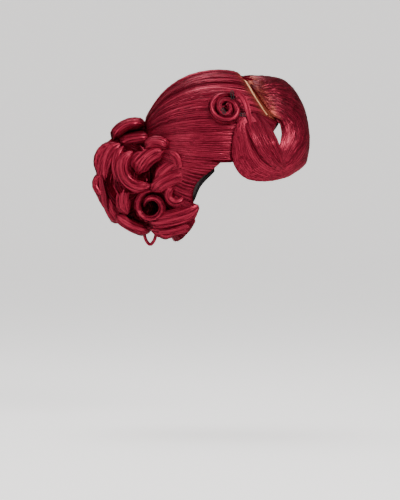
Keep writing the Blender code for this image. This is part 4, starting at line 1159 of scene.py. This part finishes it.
for number, row in enumerate(CURLS):
    name, near, far, sweep, width, depth = (row[k] for k in (0, 4, 5, 7, 8, 9))
    length = math.radians(abs(sweep)) * (near + far) / 2 * CURL_RADIUS
    girth = math.pi * (width + depth) / 2 * LOCK_WIDTH
    locks = max(3, round(girth / 0.0085))
    angles = np.linspace(0, 2 * math.pi, 8 * locks + 1)[:-1][None, :]
    rings = np.linspace(0, 1, max(14, round(length / 0.004)))[:, None]
    sunk = 0.0008 * relief(angles, rings * length / 0.03, locks, number) - 0.0014
    body = clear_of_cap(curl_place(row, rings, angles, sunk)[0])
    parts = [sheet_faces(body, (girth / 0.15, length / 0.15), True)]
    count = round(girth / 0.000122)
    steps = max(8, round(length / 0.0085))
    over = 0.002 / length
    begin = each_hair(count, -over, 0.15)
    end = 1 + over - (0.15 + over) * each_hair(count)
    share = begin + (end - begin) * np.linspace(0, 1, steps)[None, :]
    angle = each_hair(count, 0, 2 * math.pi) + slow_noise(count, steps, 4, 0.06)
    high = relief(angle, share * length / 0.03, locks, number)
    angle = angle + 0.30 / locks * np.sin(locks * angle + number + 2.2 * np.sin(1.7 * share + number))
    lift = each_hair(count, -0.0007, 0.0004) + 0.0008 * high - 0.0003
    places, outs = curl_place(row, share, angle, lift)
    wide = chance.uniform(0.0005, 0.0013, count)
    # Hairs high on the fine locks of a curl are painted lighter and those low between them darker:
    # painted highlight and painted shade
    parts.append(strands(clear_of_cap(places), outs, wide, 0.62 + 0.5 * high))
    made = add_piece(name + "_strands", parts, PACKED_SHADE, FIBRE)
    stand_for(made, "hair", name)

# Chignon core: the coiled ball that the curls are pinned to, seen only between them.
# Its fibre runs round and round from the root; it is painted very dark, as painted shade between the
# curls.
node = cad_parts["chignon_core"]
core_low, core_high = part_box("chignon_core")
core_mid = (np.array(core_low) + np.array(core_high)) / 2
skin = BVHTree.FromPolygons(
    [v.co.copy() for v in node.data.vertices], [list(f.vertices) for f in node.data.polygons]
)


def core_places(lean, around, sink):
    """Places on the core by lean from its left and right poles and by turn round them."""
    spots, outs = [], []
    for a, b, s in zip(lean.ravel(), around.ravel(), sink.ravel()):
        ray = Vector((math.cos(a), math.sin(a) * math.cos(b), math.sin(a) * math.sin(b)))
        hit = skin.ray_cast(Vector(core_mid) + ray * 0.2, -ray)
        spot = hit[0] if hit[0] is not None else Vector(core_mid) + ray * 0.03
        spots.append(spot + ray * s)
        outs.append(ray)
    shape = lean.shape + (3,)
    return np.array(spots).reshape(shape), np.array(outs).reshape(shape)


lean, around = np.meshgrid(np.linspace(0.02, 3.12, 40), np.linspace(0, 2 * math.pi, 81)[:-1])
body = core_places(lean, around, np.full(lean.shape, -0.0006))[0]
body = body.transpose(1, 0, 2)
parts = [sheet_faces(body, (1, 1), True)]
# Coiled hair that fills the ball between the cuts of the core: two egg forms, each with its
# shift from the middle of the bun and its half sizes; painted very dark, as shade between the curls
ball = [np.cos(lean), np.sin(lean) * np.cos(around), np.sin(lean) * np.sin(around)]
coil = 1 + 0.012 * np.cos(26 * lean + 3 * around)
ball = np.stack(ball, -1) * coil[..., None]
COILED_BALLS = (
    ((0, 0.022, 0), (0.054, 0.045, 0.065)),
    ((0, -0.006, -0.046), (0.044, 0.024, 0.030)),
)
for shift, size in COILED_BALLS:
    coiled = BUN_CENTRE + np.array(shift) + ball * np.array(size)
    parts.append(sheet_faces(coiled.transpose(1, 0, 2), (1, 1), True))
    count, steps = 260, 9
    tilt = each_hair(count, 0.2, 2.94) + slow_noise(count, steps, 4, 0.05)
    swing = each_hair(count, 0, 2 * math.pi) + np.linspace(0, 1.4, steps)[None, :]
    around_it = [np.cos(tilt), np.sin(tilt) * np.cos(swing), np.sin(tilt) * np.sin(swing)]
    around_it = np.stack(around_it, -1)
    lift = chance.uniform(1.0, 1.05, (count, 1, 1))
    places = BUN_CENTRE + np.array(shift) + around_it * np.array(size) * lift
    # Low tones: these hairs are painted dark, as painted shade
    parts.append(strands(places, around_it, chance.uniform(0.0006, 0.0012, count), 0.1))
count, steps = 700, 9
lean = each_hair(count, 0.25, 2.9) + slow_noise(count, steps, 4, 0.05)
around = each_hair(count, 0, 2 * math.pi) + np.linspace(0, 1.3, steps)[None, :]
places, outs = core_places(lean, around, 0 * lean + each_hair(count, -0.0006, 0.0004))
# Low tones: the hairs on the core are painted dark, as painted shade
parts.append(strands(places, outs, chance.uniform(0.0006, 0.0012, count), 0.2))
# Very dark tones for the core and the coiled balls: painted shade between the curls
inner_shade_tones = (0.020, 0.0004, 0.0018), (0.050, 0.0010, 0.0044), (0.120, 0.0034, 0.0100)
INNER_SHADE = hair_look("inner fibre in painted shade", *inner_shade_tones, 0.0, 0.0)
core = add_piece("core_strands", parts, INNER_SHADE, FIBRE)
stand_for(core, "hair", "chignon_core")

# Drawn locks: thin locks combed over the curls and tucked in between them, so that the
# curls run into each other. Each is a flat bundle of hairs, thin at both ends, and is held
# by the curls that it is tucked under.
skin_places, skin_faces = [], []
for name in ["chignon_core"] + [row[0] for row in CURLS]:
    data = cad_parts[name].data
    start = len(skin_places)
    skin_places += [v.co.copy() for v in data.vertices]
    skin_faces += [[start + k for k in face.vertices] for face in data.polygons]
bun_skin = BVHTree.FromPolygons(skin_places, skin_faces)


def bun_reach(away):
    """How far the curls reach from the middle of the bun in this direction."""
    far = Vector(BUN_CENTRE) + Vector(away) * 0.2
    hit = bun_skin.ray_cast(far, -Vector(away))
    return 0.2 - hit[3] if hit[0] is not None else 0.055


DRAWN_COUNT = 14
STRIDE = 0.075
FARTHEST = 0.090
MOST_UNEVEN = 0.009
parts = []
steps = 13
while len(parts) < DRAWN_COUNT:
    away = unit(chance.normal(0, 1, 3))
    if away[1] < 0.15 or away[0] < -0.55 or away[2] > 0.4:
        continue
    flow = np.array([chance.uniform(-0.4, 0.4), 0, -1.0])
    ahead = unit(flow - away * (flow @ away))
    bend = chance.uniform(-0.035, 0.035)
    trail, level = [], []
    for k in range(steps):
        trail.append((away, np.cross(ahead, away)))
        level.append(bun_reach(away))
        moved = unit(away + ahead * STRIDE)
        ahead = unit(ahead - away * STRIDE + np.cross(away, ahead) * bend)
        ahead = unit(ahead - moved * (ahead @ moved))
        away = moved
    level = np.array(level)
    spread_level = np.array([level[max(0, k - 2) : k + 3].max() for k in range(steps)])
    level = np.convolve(np.pad(spread_level, 2, mode="edge"), np.ones(5) / 5, "valid")
    # Only a lock that the curls carry all the way is kept
    uneven = level.max() - level.min()
    if level.max() > FARTHEST or uneven > MOST_UNEVEN or away[2] < -0.85:
        continue
    share = np.linspace(0, 1, steps)[None, :]
    count = 84
    half = chance.uniform(0.0060, 0.0100)
    lane = each_hair(count, -1, 1)
    fan = 0.12 + np.sin(math.pi * share) ** 0.7
    rise = 0.0030 * (1 - lane**2) * np.sin(math.pi * share) - 0.0006
    dive = 0.007 * (1 - np.clip(np.minimum(share, 1 - share) / 0.2, 0, 1)) ** 2
    out = np.array([t[0] for t in trail])[None]
    side = np.array([t[1] for t in trail])[None]
    radius = (level[None, :] + rise - dive)[..., None]
    places = BUN_CENTRE + out * radius + side * (lane * half * fan)[..., None]
    outs = unit(out + side * (lane * 0.7 * fan)[..., None])
    wide = chance.uniform(0.0004, 0.0009, count)
    # Hairs in the middle of a lock are painted lighter than those at its edges: painted highlight
    parts.append(strands(places, outs, wide, 0.25 + 0.6 * (1 - np.abs(lane))))
drawn = add_piece("drawn_locks", parts, FIBRE)
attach(drawn, "root")

# Hanging loop: a thin wisp of the same fibre that has slipped out under the bun and curls
# back into it. Nothing holds it but the hair round its two ends.
STRAND_WIDTH = 0.0040
# Its route from the middle of the bun, in the bun's half sizes
LOOP_PATH = (
    (-0.20, -0.03, -0.84),
    (-0.20, -0.06, -0.98),
    (-0.20, -0.10, -1.09),
    (-0.20, -0.18, -1.16),
    (-0.20, -0.26, -1.09),
    (-0.20, -0.30, -0.98),
    (-0.20, -0.33, -0.84),
)
count, steps = 230, 18
at = np.linspace(0, 6, steps)[None, :] + 0 * each_hair(count)
spot = BUN_CENTRE + smooth_rows(LOOP_PATH, at) * BUN_SIZES
ahead = unit(np.gradient(spot, axis=1))
side = np.array([1.0, 0.0, 0.0])
out = np.cross(side, ahead)
angle = each_hair(count, 0, 2 * math.pi) + np.linspace(0, 1.5, steps)[None, :]
away = side * np.cos(angle)[..., None] + out * np.sin(angle)[..., None]
radius = STRAND_WIDTH / 2 * (0.60 + 0.65 * each_hair(count))[..., None]
parts = [strands(spot + away * radius, away, chance.uniform(0.0006, 0.0010, count), 0.8)]
loop = add_piece("loop_wisp", parts, FIBRE)
stand_for(loop, "hair", "hanging_loop")

# Hair pins: one bent piece of dark lacquered wire each, with both legs laid over the hair
# that it holds.


def specks(tree, shader, scale, first, second):
    """Colour a look in two tones that meet in a fine noise."""
    place = tree.nodes.new("ShaderNodeTexCoord")
    noise = tree.nodes.new("ShaderNodeTexNoise")
    noise.inputs["Scale"].default_value = scale
    tree.links.new(place.outputs["Object"], noise.inputs["Vector"])
    tint = mix_colours(tree, noise.outputs["Fac"], first, second)
    tree.links.new(tint, shader.inputs["Base Color"])


pin_look, tree, shader = new_look("lacquered wire", (0.02, 0.018, 0.02), 0.42)
shader.inputs["Specular IOR Level"].default_value = 0.35
specks(tree, shader, 900.0, (0.003, 0.002, 0.003), (0.012, 0.009, 0.010))
for name in ("pin_rosette", "pin_rosette_heart", "pin_swoop"):
    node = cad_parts[name]
    node.data.materials.clear()
    node.data.materials.append(pin_look)

# Stage: plain pale floor and backdrop, three soft lights, and the camera of the photo,
# level with the middle of the picture on the wearer's right.
FLOOR = -0.54
rings = [(k * 0.8, 0.0) for k in range(9)]
for k in range(1, 9):
    lean = math.radians(90 * k / 8)
    rings.append((6.4 + 2.4 * math.sin(lean), 2.4 * (1 - math.cos(lean))))
rings.append((8.8, 7.0))
rings = np.array(rings)[:, None, :]
around = np.linspace(0, 2 * math.pi, 49)[None, :-1]
ground = np.stack(
    [
        rings[..., 0] * np.cos(around),
        rings[..., 0] * np.sin(around),
        FLOOR + rings[..., 1] + 0 * around,
    ],
    -1,
)
floor_look, tree, shader = new_look("pale ground", (0.82, 0.80, 0.79), 0.9)
nodes, links = tree.nodes, tree.links
specks(tree, shader, 60.0, (0.80, 0.785, 0.775), (0.84, 0.825, 0.815))
# The backdrop is a little brighter to the eye than the light on it makes it
seen = nodes.new("ShaderNodeLightPath")
glow = nodes.new("ShaderNodeMath")
glow.operation = "MULTIPLY"
glow.inputs[1].default_value = 0.9
links.new(seen.outputs["Is Camera Ray"], glow.inputs[0])
links.new(glow.outputs["Value"], shader.inputs["Emission Strength"])
shader.inputs["Emission Color"].default_value = (1, 0.985, 0.975, 1)
ground_piece = add_piece("ground", [sheet_faces(ground, (1, 1), True)], floor_look)


def soft_light(name, place, aim, size, power, tint):
    """A square soft light at a place, turned to its aim."""
    data = bpy.data.lights.new(name, "AREA")
    data.size = size
    data.energy = power
    data.color = tint
    lamp = bpy.data.objects.new(name, data)
    lamp.location = place
    lamp.rotation_euler = (Vector(aim) - Vector(place)).to_track_quat("-Z", "Y").to_euler()
    bpy.context.scene.collection.objects.link(lamp)


soft_light("key light", (-1.6, -0.9, 1.0), (0, 0, -0.12), 0.8, 38, (1, 0.97, 0.95))
soft_light("fill light", (-1.4, 1.6, 0.3), (0, 0.05, -0.15), 1.2, 16, (1, 0.98, 0.97))
soft_light("top light", (0.5, 0.3, 1.6), (0, 0.05, -0.1), 1.0, 24, (1, 1, 1))
world = bpy.data.worlds.new("soft room")
world.use_nodes = True
world.node_tree.nodes["Background"].inputs["Color"].default_value = (1, 0.99, 0.98, 1)
world.node_tree.nodes["Background"].inputs["Strength"].default_value = 0.55
bpy.context.scene.world = world

lens = bpy.data.cameras.new("camera")
lens.lens = 190
lens.sensor_fit = "VERTICAL"
lens.sensor_height = 36
camera = bpy.data.objects.new("camera", lens)
camera.location = (-4.065, 0.034, -0.13)
camera.rotation_euler = (math.radians(88.1), 0, math.radians(-90))
bpy.context.scene.collection.objects.link(camera)
bpy.context.scene.camera = camera
